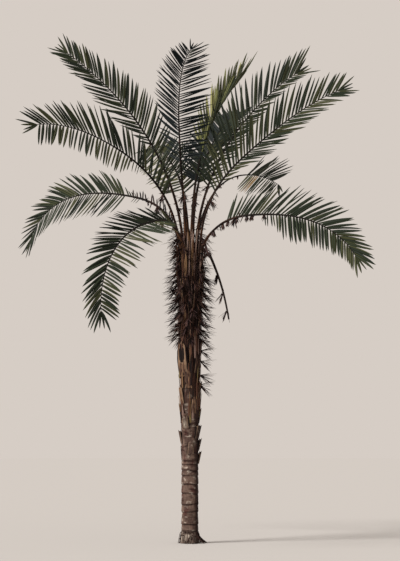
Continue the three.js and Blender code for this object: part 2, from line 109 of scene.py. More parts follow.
# Old leaf bases, called boots, on a spiral up the stem
BOOT_COUNT = 36
BOOT_SPIRAL = math.radians(137.5)
BOOT_FLOOR = 1.400
BOOT_CEILING = 4.530
BOOT_TALL = (0.216, 0.442)
BOOT_WIDE = (0.126, 0.158)
BOOT_STAND = (0.057, 0.046)
BOOT_LIFT = (0.018, 0.016)
BOOT_SUNK = 0.025
BOOT_FOOT_STAND = 0.2
BOOT_TOP_WIDE = 0.64
BOOT_ROUND = 0.4
BOOT_LIFT_FROM = 0.55
BOOT_CUTS = 11
BOOT_WALL = 0.14
BOOT_DISH = 0.10
BOOT_GROOVE = 0.0045
BOOT_FRAY = 0.12
BOOT_FRAY_FROM = 0.5
BOOT_SHOULDER = 0.24
BOOT_SHOULDER_FROM = 0.3
BOOT_CUT_FROM = 0.86
# The boot that bulges, by its number on the spiral, and the painted highlight on it
PALE_BOOT = 7
BULGES = {PALE_BOOT: 0.026}
PALE_MIDDLE = 0.3
PALE_HALF_WIDE = 0.5
PALE_HALF_TALL = 0.25
# The hollow of an opened sheath, and the painted shade in it
HOLLOW_DEEPENS = (0.15, 0.45)
HOLLOW_MIDDLE = 0.68
HOLLOW_HALF_WIDE = 0.72
HOLLOW_HALF_TALL = 0.36
HOLLOW_FADE = 0.35
# Old stubs on the viewer's right: azimuth in degrees and height of the foot
STUBS = ((-6, 1.63), (14, 1.87))
STUB_SIZES = {"tall": 0.22, "wide": 0.115, "stand": 0.060, "lift": 0.022}

# Spines, in tufts
SPINE_LENGTH = (0.19, 0.35)
SPINE_WIDE = 0.018
SPINE_FLAT = 0.7
SPINE_WAIST = 0.75
SPINE_WAIST_WIDE = 0.8
SPINE_SUNK = 0.012
SPINE_SCATTER = 0.008
BRISTLE_WIDE = 0.028
BROKEN_SPINE_WIDE = 0.014
TUFT_COUNT = 54
TUFT_FLOOR = 3.62
TUFT_CEILING = SHELF_HEIGHT - 0.02
TUFT_STAND = 0.012
TUFT_STRAY = 0.3
# Tufts below the rest, on the viewer's right: azimuth in degrees, and height
LOW_TUFTS = ((-8, 3.42), (-14, 3.23), (-5, 2.98), (-12, 2.80))

# Strips of old sheath on the stem: how many, heights of their feet, and widths
UPPER_STRIPS = (130, (2.90, 4.58), (0.012, 0.040))
LOWER_STRIPS = (58, (2.02, 2.95), (0.020, 0.056))
STRIP_LENGTH = (0.20, 0.46)
STRIP_CEILING = SHELF_HEIGHT - 0.01
STRIP_STAND = (0.004, 0.030)
STRIP_LOOSE = (0, 0.024)
STRIP_TURN = 0.10
STRIP_THICK = 0.006
STRIP_FOLD = 0.25
STRIP_OUTLINE = np.array([0.9, 1, 0.95, 0.7, 0.25])

# Strips at the seat of the crown. Half of them wrap its edge, and half stand up on it
CROWN_STRIP_COUNT = 210
WRAPPING_FOOT = (-0.32, -0.10)
STANDING_FOOT = (-0.06, 0.06)
WRAPPING_SEAT = (0.216, 0.244)
STANDING_SEAT = (0.03, 0.205)
CROWN_STRIP_LENGTH = (0.36, 0.70)
CROWN_STRIP_LEAN = (-0.01, 0.05)
CROWN_STRIP_TURN = 0.12
CROWN_STRIP_WIDE = (0.016, 0.050)
CROWN_STRIP_OUTLINE = np.array([0.9, 1, 1, 0.85, 0.55, 0.15])

# Fibres, and snapped stalks by azimuth in degrees and height of the foot
FIBRE_COUNT = 900
FIBRE_STATIONS = 5
FIBRE_TOP = (3.9, SHELF_HEIGHT + 0.10)
FIBRE_TOP_POWER = 0.6
FIBRE_LENGTH = (0.12, 0.36)
FIBRE_FALL = 1.4
FIBRE_SUNK = 0.01
FIBRE_STAND = (0.01, 0.085)
FIBRE_CURL = 2.4
FIBRE_TURN = 0.5
FIBRE_RADIUS = (0.0016, 0.0036)
FIBRE_TIP = 0.3
SNAPPED_STALKS = ((186, 4.36), (72, 4.22), (128, 4.44))
SNAPPED_SUNK = 0.02
SNAPPED_REACH = 0.17
SNAPPED_CURVE = 1.3
SNAPPED_RADII = np.array([0.020, 0.018, 0.016, 0.015, 0.011])

# Fronds
STALK_RADIUS = 0.031
RIB_TIP_RADIUS = 0.005
RIB_POWER = 0.85
RIB_STATIONS = 72
RIB_SIDES = 12
RIB_FLAT = 0.62
RIB_CHANNEL = 0.40
SHEATH_END = 0.20
SHEATH_WIDEN = 0.85
SHEATHED_LENGTH = 2.0
TRACE_STEPS = 144
BLADE_START = 0.32
BLADE_END = 0.985
ROLL_START = 0.08
LEAFLET_ANGLE = (62, 28)
LEAFLET_ANGLE_POWER = 0.75
LEAFLET_STRAY = 3.5
LEAFLET_STAGGER = 0.25
LEAFLET_SHIFT = 0.16
LEAFLET_LOST = 0.02
LEAFLET_FOOT_LENGTH = 0.60
LEAFLET_TIP_LENGTH = 0.62
LEAFLET_FULL_POWER = 0.8
LEAFLET_UNEVEN = (0.88, 1.05)
LEAFLET_WIDE = (0.034, 0.056)
LEAFLET_FULL_WIDE = 0.35
LEAFLET_LEAST_WIDE = 0.35
LEAFLET_THICK = 0.0035
LEAFLET_FOLD = 0.70
LEAFLET_LIFT_STRAY = 9
LEAFLET_TWIST = 14
LEAFLET_SUNK = 0.6
LEAFLET_DROOP = (0.03, 0.11)
LEAFLET_HOOK = (-0.02, 0.10)
LOWER_ROW = 0.84
LATE_ROW_LENGTH = 0.45
LATE_ROW_GROWS = 0.2
# A hanging row is pulled down more towards the tip of its blade
HANG_GROWTH = (0.70, 1.15)
HANG_UNEVEN = (0.85, 1.1)
HANG_LIMIT = 0.95
# A thin foot has fewer and shorter leaflets, which grow over these multiples of its share of the blade
THIN_FOOT_GROWS = (0.6, 1.5)
THIN_FOOT_LENGTH = 0.28
THIN_FOOT_KEPT = 0.6
# Short leaflets on the stalk, below the blade
FOOT_LEAFLET_START = 0.175
FOOT_LEAFLET_ANGLE = (30, 60)
FOOT_LEAFLET_LENGTH = (0.25, 0.42)
FOOT_LEAFLET_PULL = -0.3
# Leaflets left on the hanging dead rib
TATTER_COUNT = 22
TATTER_SPAN = (0.16, 0.99)
TATTER_ANGLE = (4, 22)
TATTER_LENGTH = (0.12, 0.26)
TATTER_TAPER = (1.3, 0.45)
TATTER_WIDE = (0.016, 0.034)
# Leaflets at the very tip: angle from the rib, and share of the frond's leaflet length
TIP_FAN = ((9, 0.40), (25, 0.52))
SPRAY_SIZE = (1, 4)
# A leaflet's width along its length: narrow at the root, widest before the middle, drawn to a point
LEAFLET_STATIONS = np.array([0.0, 0.08, 0.24, 0.45, 0.68, 0.87, 1.0])
LEAFLET_OUTLINE = np.array([0.42, 0.78, 1.00, 1.00, 0.86, 0.54, 0.05])

# Where stalks are seated: distance from the stem's axis, and height
INNER = (0.110, DAIS_HEIGHT)
HEART = (0.045, DAIS_HEIGHT)
OUTER = (0.178, SHELF_HEIGHT)
EDGE = (0.190, SHELF_HEIGHT)

# Leaf colours as they look, in red, green and blue from 0 to 255
LEAF_TONES = {
    "deep": (27, 34, 26),
    "shade": (21, 29, 31),
    "mid": (40, 47, 33),
    "olive": (62, 64, 41),
    "light": (92, 92, 64),
    "under": (43, 49, 40),
    "young": (102, 104, 62),
    "young_light": (138, 136, 90),
    "dry": (132, 104, 60),
    "dead": (70, 54, 42),
    "dead_dark": (44, 35, 30),
}
TONE_NAMES = list(LEAF_TONES)
# A folded leaflet's second half takes the tone beside its own, as painted light and shade on the fold
FOLD_LIGHT_TONES = {
    "deep": "mid",
    "shade": "deep",
    "mid": "olive",
    "olive": "mid",
    "light": "olive",
    "young": "olive",
    "young_light": "young",
    "dry": "olive",
    "dead": "dead_dark",
    "dead_dark": "dead",
}
GREENS = {
    "dark": {"deep": 0.64, "mid": 0.28, "olive": 0.08},
    "warm": {"deep": 0.50, "mid": 0.36, "olive": 0.14},
    "shaded": {"deep": 0.50, "shade": 0.42, "mid": 0.08},
    "lit": {"olive": 0.40, "light": 0.25, "mid": 0.35},
    "young": {"young": 0.46, "young_light": 0.24, "olive": 0.30},
    "drying": {"mid": 0.12, "olive": 0.28, "light": 0.20, "dry": 0.40},
    "dead": {"dead": 0.5, "dead_dark": 0.5},
}
LEAF_ROUGHNESS = 0.62

# Colours of bark and old leaf bases
BARK_DARK = (70, 54, 49)
BARK_GREY = (112, 93, 83)
BARK_STAIN = (72, 42, 38)
BARK_WORN = (176, 164, 152)
BARK_RING = (44, 32, 29)
BARK_CRACK = (38, 28, 25)
BARK_RUBBED = (178, 166, 153)
BARK_SHADE_AND_DARK = (32, 20, 18)
BARK_SCAR = (30, 15, 13)
FIBRE_SHADOW = (24, 15, 14)
FIBRE_BROWN = (86, 58, 48)
OCHRE_SHADOW = (54, 34, 31)
OCHRE = (136, 108, 84)
MAROON_SHADOW = (28, 16, 16)
MAROON = (102, 70, 58)
BOOT_PAINTED_SHADE = (31, 20, 19)
BOOT_LINE = (20, 13, 12)
BOOT_PAINTED_HIGHLIGHT = (176, 166, 152)
BOOT_RIM = (146, 122, 100)
BOOT_EDGE_SHADE = (14, 9, 10)
# Stalks: at the foot, the painted glint on the streaks, and towards the tip
GREEN_STALK = ((34, 22, 20), (140, 98, 66), (22, 18, 15))
DEAD_STALK = ((30, 23, 20), (84, 66, 50), (42, 33, 28))
# Spines: colour and roughness
SPINE_TONES = {
    "black": ((20, 15, 15), 0.45),
    "brown": ((46, 31, 28), 0.5),
    "purple": ((68, 51, 51), 0.5),
    "rust": ((76, 54, 46), 0.5),
}
STRIP_TONES = {
    "dark": (32, 20, 18),
    "brown": (86, 58, 46),
    "ochre": (112, 86, 62),
    "black": (22, 15, 15),
    "mauve": (118, 97, 89),
    # pale: painted light on sheaths that lie in the crown's shade
    "pale": (168, 144, 132),
    "olive": (112, 98, 64),
}
FIBRE_TONES = {"dark": (26, 18, 17), "brown": (58, 38, 30)}
STRIP_ROUGHNESS = 0.8

# The view of the picture, and the stage and light round the palm
VIEW_DISTANCE = 30.0
VIEW_HEIGHT = 2.0
VIEW_AIM = (0.18, 0.0, 4.68)
VIEW_TALL = 10.098
VIEW_END = 400.0
SENSOR = 36.0
PAPER = (214, 205, 197)
FLOOR_TONE = (178, 175, 173)
FLOOR_RADIUS = 90.0
FLOOR_SIDES = 64
FLOOR_DROP = 0.002
KEY_ENERGY = 4.0
KEY_SOFTNESS = math.radians(22)
KEY_COLOUR = (1.0, 0.97, 0.92)
KEY_TURN = (math.radians(50), 0, math.radians(-58))


@dataclass
class Frond:
    """A rib that rises from its seat, leans out by `lean` up to the share `lean_end`, and arches over.

    Angles are in degrees. Shares of the rib or the blade run from 0 at the foot to 1 at the tip. Values that
    start with low are for the row of leaflets that the roll turns downwards.
    """
    name: str
    azimuth: float
    seat: tuple
    length: float
    lean: float
    lean_end: float
    arch: float
    early: float = 0
    arch_power: float = 2
    sweep: float = 0
    roll: float = 0
    lift: float = 15
    leaflet: float = 0.73
    angles: tuple = LEAFLET_ANGLE
    low_angles: tuple = LEAFLET_ANGLE
    low_length: float = LOWER_ROW
    low_even: float = 0
    hang: float = 0
    pairs: int = 42
    wide: float = 1
    tip_length: float = LEAFLET_TIP_LENGTH
    blade_start: float = BLADE_START
    foot_leaflets: int = 0
    thin_foot: float = 0
    late_row: float = 0
    top_end: float = 1
    split: bool = False
    greens: str = "dark"
    low_greens: str = ""
    under: str = "under"
    rise: float = 90
    stalk: float = STALK_RADIUS
    tip: float = RIB_TIP_RADIUS
    start: tuple = None


FRONDS = [
    Frond("frond_front", 224, INNER, 4.10, 9, 0.375, 63, early=0.2, arch_power=3.1, sweep=70, roll=-6,
          leaflet=0.59, angles=(62, 44), low_angles=(86, 62), low_length=1.10, pairs=48, tip_length=0.56,
          blade_start=0.44, wide=0.72, greens="shaded", under="shade"),
    Frond("frond_upper_left", 170, INNER, 4.70, 41, 0.98, 12, early=1, arch_power=3.2, roll=-66,
          angles=(60, 32), low_length=0.88, late_row=0.24, pairs=46),
    Frond("frond_mid_left", 210, OUTER, 4.24, 54, 0.63, 48, early=0.46, arch_power=3.2, roll=-70,
          leaflet=0.74, angles=(66, 38), low_length=0.56, low_even=0.7, hang=0.8, late_row=0.24,
          greens="warm"),
    Frond("frond_low_left", 145, EDGE, 4.80, 73, 0.43, 88, early=0.18, arch_power=3.6, roll=-60,
          angles=(50, 32), low_length=0.75, low_even=0.4, hang=0.48, pairs=48, blade_start=0.37,
          thin_foot=0.12, split=True),
    Frond("frond_drooping_left", 242, EDGE, 4.30, 94, 0.35, 95, early=0.4, arch_power=2.6, roll=-32,
          leaflet=0.66, angles=(46, 32), low_angles=(124, 58), late_row=0.06, pairs=52, blade_start=0.21,
          foot_leaflets=14, split=True),
    Frond("frond_upper_right", 25, INNER, 4.42, 39, 0.80, 20, early=0.7, arch_power=4.8, roll=54,
          leaflet=0.86, low_length=0.42, tip_length=0.88),
    Frond("frond_mid_right", 340, OUTER, 4.36, 49, 0.56, 23, arch_power=3.7, roll=68, leaflet=0.76,
          angles=(64, 42), low_angles=(50, 30), low_length=0.90, late_row=0.10, greens="warm"),
    Frond("frond_low_right", 320, EDGE, 4.18, 87, 0.42, 60, early=0.9, arch_power=2.9, roll=60,
          angles=(70, 28), low_length=0.64, hang=0.85, blade_start=0.26, late_row=0.29, pairs=48,
          split=True),
    Frond("frond_back_right", 62, EDGE, 4.68, 68, 0.69, 33, early=0.86, arch_power=2.4, roll=-38,
          leaflet=0.78, angles=(58, 24), low_angles=(128, 112), low_length=0.60, hang=0.42, pairs=18,
          blade_start=0.69, top_end=0.80, wide=1.15, split=True, low_greens="drying"),
    Frond("frond_young", 55, HEART, 4.16, 46, 1, 2, lift=58, leaflet=0.80, angles=(32, 20),
          tip_length=1, blade_start=0.50, pairs=22, wide=1.1, greens="young", under="olive"),
    Frond("frond_back", 66, INNER, 4.10, 28, 0.6, 42, arch_power=1.8, blade_start=0.38, pairs=64,
          greens="shaded", under="shade"),
    Frond("frond_back_left", 108, INNER, 4.30, 46, 0.55, 44, roll=-20, hang=0.5, greens="lit"),
]
SNAPPED = Frond("frond_broken_stub", 0, EDGE, 0.36, 54, 1, 0, tip=0.030)
HANGING = Frond("frond_broken_hanging", 0, EDGE, 1.26, 13, 1, 0, rise=-67, stalk=0.030, tip=0.018,
                greens="dead", under="dead_dark")


@dataclass
class Tufts:
    """Spines to a tuft, and how they fan out.

    On a stalk, tufts run from low to high, which are shares of its rib. They are turned round it, in degrees
    from its left side over its face.
    """
    count: int
    lengths: tuple
    spread: float = 0.5
    dip: tuple = (0.05, 1.0)
    low: float = 0
    high: float = 1
    gap: float = 0.10
    turn: tuple = (175, 365)


STEM_TUFTS = Tufts(20, SPINE_LENGTH, spread=0.45, dip=(0.2, 1.2))
LOW_STEM_TUFTS = Tufts(20, SPINE_LENGTH, spread=0.6, dip=(-0.3, 1.2))
# On every stalk: dense tufts at the foot, pairs of spines above, brushes among them, short ones on the rib
STALK_TUFTS = (
    Tufts(11, SPINE_LENGTH, low=0.01, high=0.12),
    Tufts(2, (0.07, 0.14), spread=0.3, dip=(-0.2, 0.5), low=0.12, high=0.36),
    Tufts(18, (0.11, 0.21), spread=0.7, dip=(0.0, 1.4), low=0.10, high=0.30, gap=0.30),
    Tufts(4, (0.04, 0.08), low=0.36, high=0.60, gap=0.20),
)
BEARDED = "frond_low_right"
BEARD_TUFTS = Tufts(22, (0.07, 0.13), dip=(-0.5, 0.5), low=0.19, high=0.46, gap=0.16, turn=(265, 275))
BRISTLED = "frond_low_left"
BRISTLES = Tufts(1, (0.13, 0.25), spread=0.05, dip=(-0.1, 0.3), low=0.12, high=0.41, gap=0.08, turn=(20, 40))
BROKEN_TUFTS = Tufts(10, (0.14, 0.23), dip=(0.5, 2.2), low=0.35, high=0.92, gap=0.22, turn=(250, 290))


# Small helps with numbers
def smoothstep(x, low, high):
    share = np.clip((x - low) / (high - low), 0, 1)
    return share * share * (3 - 2 * share)


def mix(low, high, share):
    return low + (high - low) * share


def unit(vectors):
    return vectors / np.linalg.norm(vectors, axis=-1, keepdims=True)


def around_z(vectors, angle):
    """Turns vectors about +Z. The angle is one number, or one for each vector."""
    x, y, z = np.moveaxis(vectors, -1, 0)
    return np.stack((x * np.cos(angle) - y * np.sin(angle), x * np.sin(angle) + y * np.cos(angle), z), -1)


def turned(vectors, axes, angle):
    """Turns vectors about unit axes that are square to them."""
    angle = np.asarray(angle)[..., None]
    return vectors * np.cos(angle) + np.cross(axes, vectors) * np.sin(angle)


def on_ring(radius, angle, height):
    radius, angle, height = np.broadcast_arrays(radius, angle, height)
    return np.stack((radius * np.cos(angle), radius * np.sin(angle), height), axis=-1)


def ripple(x, waves, dice):
    """A smooth uneven line with values from about -1 to 1."""
    total = 0
    for wave in waves:
        total = total + np.sin(x * wave + dice.uniform(0, math.tau))
    return total / len(waves)


def linear(tone):
    """A colour as it looks, from 0 to 255, as the shader's linear colour."""
    shares = np.array(tone) / 255
    curve = np.where(shares <= 0.04045, shares / 12.92, ((shares + 0.055) / 1.055) ** 2.4)
    return (*curve.tolist(), 1.0)


# Materials
class Shade:
    """A shader value. Sums with it add Math nodes."""

    def __init__(self, finish, socket):
        self.finish = finish
        self.socket = socket

    def maths(self, operation, first, second):
        return self.finish.node("ShaderNodeMath", {"operation": operation}, {0: first, 1: second})

    def __add__(self, other):
        return self.maths("ADD", self, other)

    def __radd__(self, other):
        return self.maths("ADD", other, self)

    def __sub__(self, other):
        return self.maths("SUBTRACT", self, other)

    def __rsub__(self, other):
        return self.maths("SUBTRACT", other, self)

    def __mul__(self, other):
        return self.maths("MULTIPLY", self, other)

    def __rmul__(self, other):
        return self.maths("MULTIPLY", other, self)


class Finish:
    """One material. Its shader's sockets take a value or a Shade."""

    def __init__(self, name):
        self.material = bpy.data.materials.new(name)
        self.material.use_nodes = True
        self.tree = self.material.node_tree
        self.shader = self.tree.nodes["Principled BSDF"]

    def fill(self, node, sockets):
        for key, value in sockets.items():
            if isinstance(value, Shade):
                self.tree.links.new(value.socket, node.inputs[key])
            else:
                node.inputs[key].default_value = value

    def node(self, kind, settings, sockets, output=0):
        node = self.tree.nodes.new(kind)
        for key, value in settings.items():
            setattr(node, key, value)
        self.fill(node, sockets)
        return Shade(self, node.outputs[output])

    def painted(self, name):
        return self.node("ShaderNodeAttribute", {"attribute_name": name}, {}, "Fac")

    def noise(self, vector, scale, detail):
        return self.node("ShaderNodeTexNoise", {}, {"Vector": vector, "Scale": scale, "Detail": detail})

    def grain(self, upright, scale, detail):
        """Noise fixed on the palm. A small upright makes streaks up the stem, a large one makes bands."""
        where = self.node("ShaderNodeTexCoord", {}, {}, "Object")
        vector = self.node("ShaderNodeMapping", {}, {"Vector": where, "Scale": (1, 1, upright)})
        return self.noise(vector, scale, detail)

    def ramp(self, value, low, high):
        """0 below low, 1 above high, and smooth between."""
        sockets = {"Value": value, "From Min": low, "From Max": high}
        return self.node("ShaderNodeMapRange", {"interpolation_type": "SMOOTHSTEP"}, sockets)

    def blend(self, share, first, second):
        """A mix of two colours. Each is a Shade, or a colour as it looks."""
        first, second = (end if isinstance(end, Shade) else linear(end) for end in (first, second))
        return self.node("ShaderNodeMix", {"data_type": "RGBA"}, {0: share, 6: first, 7: second}, 2)

    def bump(self, height, distance):
        return self.node("ShaderNodeBump", {}, {"Height": height, "Distance": distance})

    def finished(self, **sockets):
        self.fill(self.shader, {key.replace("_", " "): value for key, value in sockets.items()})
        return self.material


def weathered_bark(finish):
    """Grey-brown bark with maroon stains, pale worn patches and dark cracks. Gives colour and height."""
    mottle = finish.grain(upright=0.6, scale=11, detail=6)
    stains = finish.grain(upright=0.5, scale=7, detail=3)
    patches = finish.grain(upright=1.8, scale=8, detail=4)
    cracks = finish.grain(upright=0.12, scale=70, detail=5)
    rings = finish.grain(upright=9, scale=9, detail=4)
    clean = finish.blend(finish.ramp(mottle, 0.3, 0.7), BARK_DARK, BARK_GREY)
    stained = finish.blend(finish.ramp(stains, 0.52, 0.66) * 0.75, clean, BARK_STAIN)
    worn = finish.blend(finish.ramp(patches, 0.55, 0.70) * 0.85, stained, BARK_WORN)
    lined = finish.blend(finish.ramp(rings, 0.54, 0.66) * 0.6, worn, BARK_RING)
    colour = finish.blend(finish.ramp(cracks, 0.55, 0.75) * 0.65, lined, BARK_CRACK)
    return colour, cracks * 0.6 + mottle * 0.5 + rings * 0.4


def make_bark():
    """The stem: ringed bark below, and dark fibrous skin under the upper leaf bases, with painted shade on
    the viewer's right.
    """
    bark = Finish("stem_bark")
    weathered, height = weathered_bark(bark)
    lightened = bark.blend(bark.painted("pale") * 0.55, weathered, BARK_RUBBED)
    # Painted shade on the viewer's right side, and roots painted darker at random
    painted_shade_and_dark = bark.blend(bark.painted("painted_shade_and_dark") * 0.88, lightened, BARK_SHADE_AND_DARK)
    scarred = bark.blend(bark.painted("scar"), painted_shade_and_dark, BARK_SCAR)
    fibres = bark.grain(upright=0.06, scale=60, detail=5)
    fibrous = bark.blend(bark.ramp(fibres, 0.42, 0.74), FIBRE_SHADOW, FIBRE_BROWN)
    colour = bark.blend(bark.painted("sleeve"), scarred, fibrous)
    rough = 0.75 + fibres * 0.2
    relief = bark.bump(height, distance=0.012)
    return bark.finished(Base_Color=colour, Roughness=rough, Specular_IOR_Level=0.1, Normal=relief)


def make_boot_finish():
    """Old leaf bases: like bark low on the stem, streaked with ochre above, maroon-black by the crown, with
    painted shade and a painted highlight.
    """
    boot = Finish("old_leaf_base")
    weathered, height = weathered_bark(boot)
    streaks = boot.grain(upright=0.07, scale=46, detail=5)
    fine = boot.grain(upright=0.05, scale=150, detail=3)
    rank = boot.painted("rank")
    edge = boot.painted("edge")
    ochre = boot.blend(boot.ramp(streaks, 0.42, 0.66), OCHRE_SHADOW, OCHRE)
    maroon = boot.blend(boot.ramp(streaks, 0.46, 0.74), MAROON_SHADOW, MAROON)
    browned = boot.blend(boot.ramp(rank, 0.14, 0.34), weathered, ochre)
    aged = boot.blend(boot.ramp(rank, 0.34, 0.60), browned, maroon)
    # Painted shade on the viewer's right side of the stem
    painted_shade_and_dark = boot.blend(boot.painted("painted_shade_and_dark") * 0.75, aged, BOOT_PAINTED_SHADE)
    lined = boot.blend(boot.ramp(fine, 0.56, 0.72) * 0.55, painted_shade_and_dark, BOOT_LINE)
    raised = boot.ramp(streaks, 0.3, 0.6)
    # A painted highlight on the bulging boot
    lightened = boot.blend(boot.painted("pale") * raised, lined, BOOT_PAINTED_HIGHLIGHT)
    rim = boot.ramp(edge, 0.52, 0.72) * (1 - boot.ramp(edge, 0.76, 0.90))
    rimmed = boot.blend(rim * raised * 0.6, lightened, BOOT_RIM)
    # Painted shade along the boot's sides, in its cut top and in the opened sheath's hollow
    edge_shaded = boot.blend(boot.ramp(edge, 0.78, 0.95) * 0.96, rimmed, BOOT_EDGE_SHADE)
    rough = 0.68 + streaks * 0.25
    relief = boot.bump(height + streaks * 0.8 + fine * 0.5, distance=0.008)
    return boot.finished(Base_Color=edge_shaded, Roughness=rough, Specular_IOR_Level=0.1, Normal=relief)


def make_stalk_finish(name, foot, glint, far):
    """A stalk streaked lengthwise with a painted glint, that turns to the colour `far` towards its tip."""
    stalk = Finish(name)
    around = stalk.painted("around")
    along = stalk.painted("along")
    vector = stalk.node("ShaderNodeCombineXYZ", {}, {"X": around * 9, "Y": along * 5})
    streaks = stalk.noise(vector, scale=1, detail=4)
    # Painted glint along the streaks
    near = stalk.blend(stalk.ramp(streaks, 0.52, 0.66), foot, glint)
    colour = stalk.blend(stalk.ramp(along, 0.14, 0.40), near, far)
    relief = stalk.bump(streaks, distance=0.004)
    return stalk.finished(Base_Color=colour, Roughness=0.8, Specular_IOR_Level=0.1, Normal=relief)


def make_plain(name, tone, roughness):
    """Leaves, spines, strips and fibres: plain colours, dealt out spray by spray or one by one."""
    plain = Finish(name)
    return plain.finished(Base_Color=linear(tone), Roughness=roughness, Specular_IOR_Level=0.15)


def make_floor_finish():
    floor = Finish("pale_floor")
    return floor.finished(Base_Color=linear(FLOOR_TONE), Roughness=1.0, Specular_IOR_Level=0.0)


# Meshes
def deselect():
    if bpy.context.mode != "OBJECT":
        bpy.ops.object.mode_set(mode="OBJECT")
    bpy.ops.object.select_all(action="DESELECT")


def pick(piece):
    deselect()
    piece.select_set(True)
    bpy.context.view_layer.objects.active = piece


def corners_of(mesh):
    flat = np.empty(len(mesh.vertices) * 3)
    mesh.vertices.foreach_get("co", flat)
    return flat.reshape(-1, 3)


def set_corners(mesh, points):
    mesh.vertices.foreach_set("co", points.ravel())
    mesh.update()


def paint(mesh, name, values):
    mesh.attributes.new(name, "FLOAT", "POINT").data.foreach_set("value", np.ascontiguousarray(values, "f"))


def add_piece(name, points, faces, materials, tones=None):
    mesh = bpy.data.meshes.new(name)
    mesh.from_pydata(points.reshape(-1, 3).tolist(), [], faces)
    for material in materials:
        mesh.materials.append(material)
    if tones is not None:
        mesh.polygons.foreach_set("material_index", np.asarray(tones, "i"))
    mesh.update()
    piece = bpy.data.objects.new(name, mesh)
    bpy.context.scene.collection.objects.link(piece)
    return piece


def smooth(piece, degrees):
    pick(piece)
    bpy.ops.object.shade_smooth_by_angle(angle=math.radians(degrees))


def dress(piece, slot, *nodes):
    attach(piece, "root")
    if nodes:
        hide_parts(*nodes)


def ring_faces(corner):
    """Quads between neighbouring rings of corners. The array is (things, rings, corners of a ring)."""
    turn = np.roll(corner, -1, axis=2)
    return np.stack((corner[:, :-1], turn[:, :-1], turn[:, 1:], corner[:, 1:]), axis=-1)


def ribbons(centres, sideways, normals, widths, thick, fold):
    """Thin closed blades, folded along the middle: their corners, their side quads and their end faces."""
    half = (widths / 2)[..., None]
    edge_drop = normals * half * fold
    lift = normals * (thick / 2)
    left = centres - sideways * half - edge_drop
    right = centres + sideways * half - edge_drop
    points = np.stack((left, centres + lift, right, centres - lift), axis=2)
    corner = np.arange(points.size // 3).reshape(points.shape[:3])
    quads = ring_faces(corner)
    root, tip = corner[:, 0], corner[:, -1]
    ends = np.concatenate((root[:, [3, 1, 0]], root[:, [3, 2, 1]], tip[:, [0, 1, 3]], tip[:, [1, 2, 3]]))
    return points, quads, ends


def round_section(sides):
    angle = np.arange(sides) * math.tau / sides
    return np.stack((np.cos(angle), np.sin(angle)), axis=-1)


def square_axes(ahead):
    """Two directions square to each one given, so that first x second is the one given."""
    upright = np.abs(ahead[..., 2:]) > 0.9
    helper = np.where(upright, np.array([0, 1.0, 0]), -DOWN)
    first = unit(np.cross(ahead, helper))
    return first, np.cross(ahead, first)


def sweep(paths, across, face, radii, section):
    """Draws a section along paths: corners, side quads and end faces."""
    wide = section[:, 0][:, None] * across[:, :, None]
    tall = section[:, 1][:, None] * face[:, :, None]
    points = paths[:, :, None] + (wide + tall) * radii[:, :, None, None]
    corner = np.arange(points.size // 3).reshape(points.shape[:3])
    quads = ring_faces(corner)
    ends = np.concatenate((corner[:, 0, ::-1], corner[:, -1]))
    return points, quads, ends


def tubes(paths, radii, sides):
    """Closed round tubes along paths. The arrays are (tubes, stations, 3) and (tubes, stations)."""
    across, face = square_axes(unit(np.gradient(paths, axis=1)))
    return sweep(paths, across, face, radii, round_section(sides))


def face_list(quads, ends):
    return quads.reshape(-1, 4).tolist() + ends.tolist()


def tone_list(tones, quads, ends):
    """The tone of every face in a face list, from one for each thing."""
    return np.concatenate((np.repeat(tones, quads[0].size // 4), np.tile(tones, len(ends) // len(tones))))


def spikes(roots, directions, lengths, wide):
    """Sharp three-sided spines, flattened, and full to past the middle: corners and faces."""
    across, face = square_axes(directions)
    ring = np.stack((across, face * SPINE_FLAT, -across), axis=1) * (wide / 2)
    reach = directions * lengths[:, None]
    base = roots[:, None] + ring
    waist = (roots + reach * SPINE_WAIST)[:, None] + ring * SPINE_WAIST_WIDE
    points = np.concatenate((base, waist, (roots + reach)[:, None]), axis=1)
    corner = np.arange(points.size // 3).reshape(-1, 7)
    quads = np.concatenate([corner[:, order] for order in ([0, 1, 4, 3], [1, 2, 5, 4], [2, 0, 3, 5])])
    ends = np.concatenate([corner[:, order] for order in ([3, 4, 6], [4, 5, 6], [5, 3, 6], [0, 2, 1])])
    return points, quads.tolist() + ends.tolist()


# Stem
def stem_radius(height):
    flare = (FOOT_RADIUS - STEM_RADIUS) * np.maximum(0, 1 - height / FLARE_HEIGHT) ** 2
    sleeve = SLEEVE_SWELL * smoothstep(height, SLEEVE_FLOOR, CROWN_FLOOR)
    crown_swell = SHELF_RADIUS - STEM_RADIUS - SLEEVE_SWELL
    crown = crown_swell * smoothstep(height, CROWN_FLOOR, SHELF_HEIGHT - SHELF_LIP)
    return STEM_RADIUS + flare + sleeve + crown


def stem_rows():
    """Height and radius of each row of the stem, from the ground to its top."""
    lip = SHELF_HEIGHT - SHELF_LIP
    fine = np.arange(0, STEM_FINE_END, STEM_FINE_ROW)
    coarse = np.arange(STEM_FINE_END, lip, STEM_ROW)
    heights = np.concatenate((fine, coarse, [lip]))
    rows = [(height, float(stem_radius(height))) for height in heights]
    rows.append((SHELF_HEIGHT, SHELF_RADIUS))
    rows.append((SHELF_HEIGHT + SEAT_CLEAR, DAIS_RADIUS))
    rows.append((DAIS_HEIGHT - SEAT_CLEAR, DAIS_RADIUS))
    return rows


def painted_shade_side(points):
    """1 on the viewer's right of the stem, where shade is painted, 0 away from it."""
    angle = np.arctan2(points[:, 1], points[:, 0])
    return smoothstep(np.cos(angle - PAINTED_SHADE_SIDE), *PAINTED_SHADE_FADE)


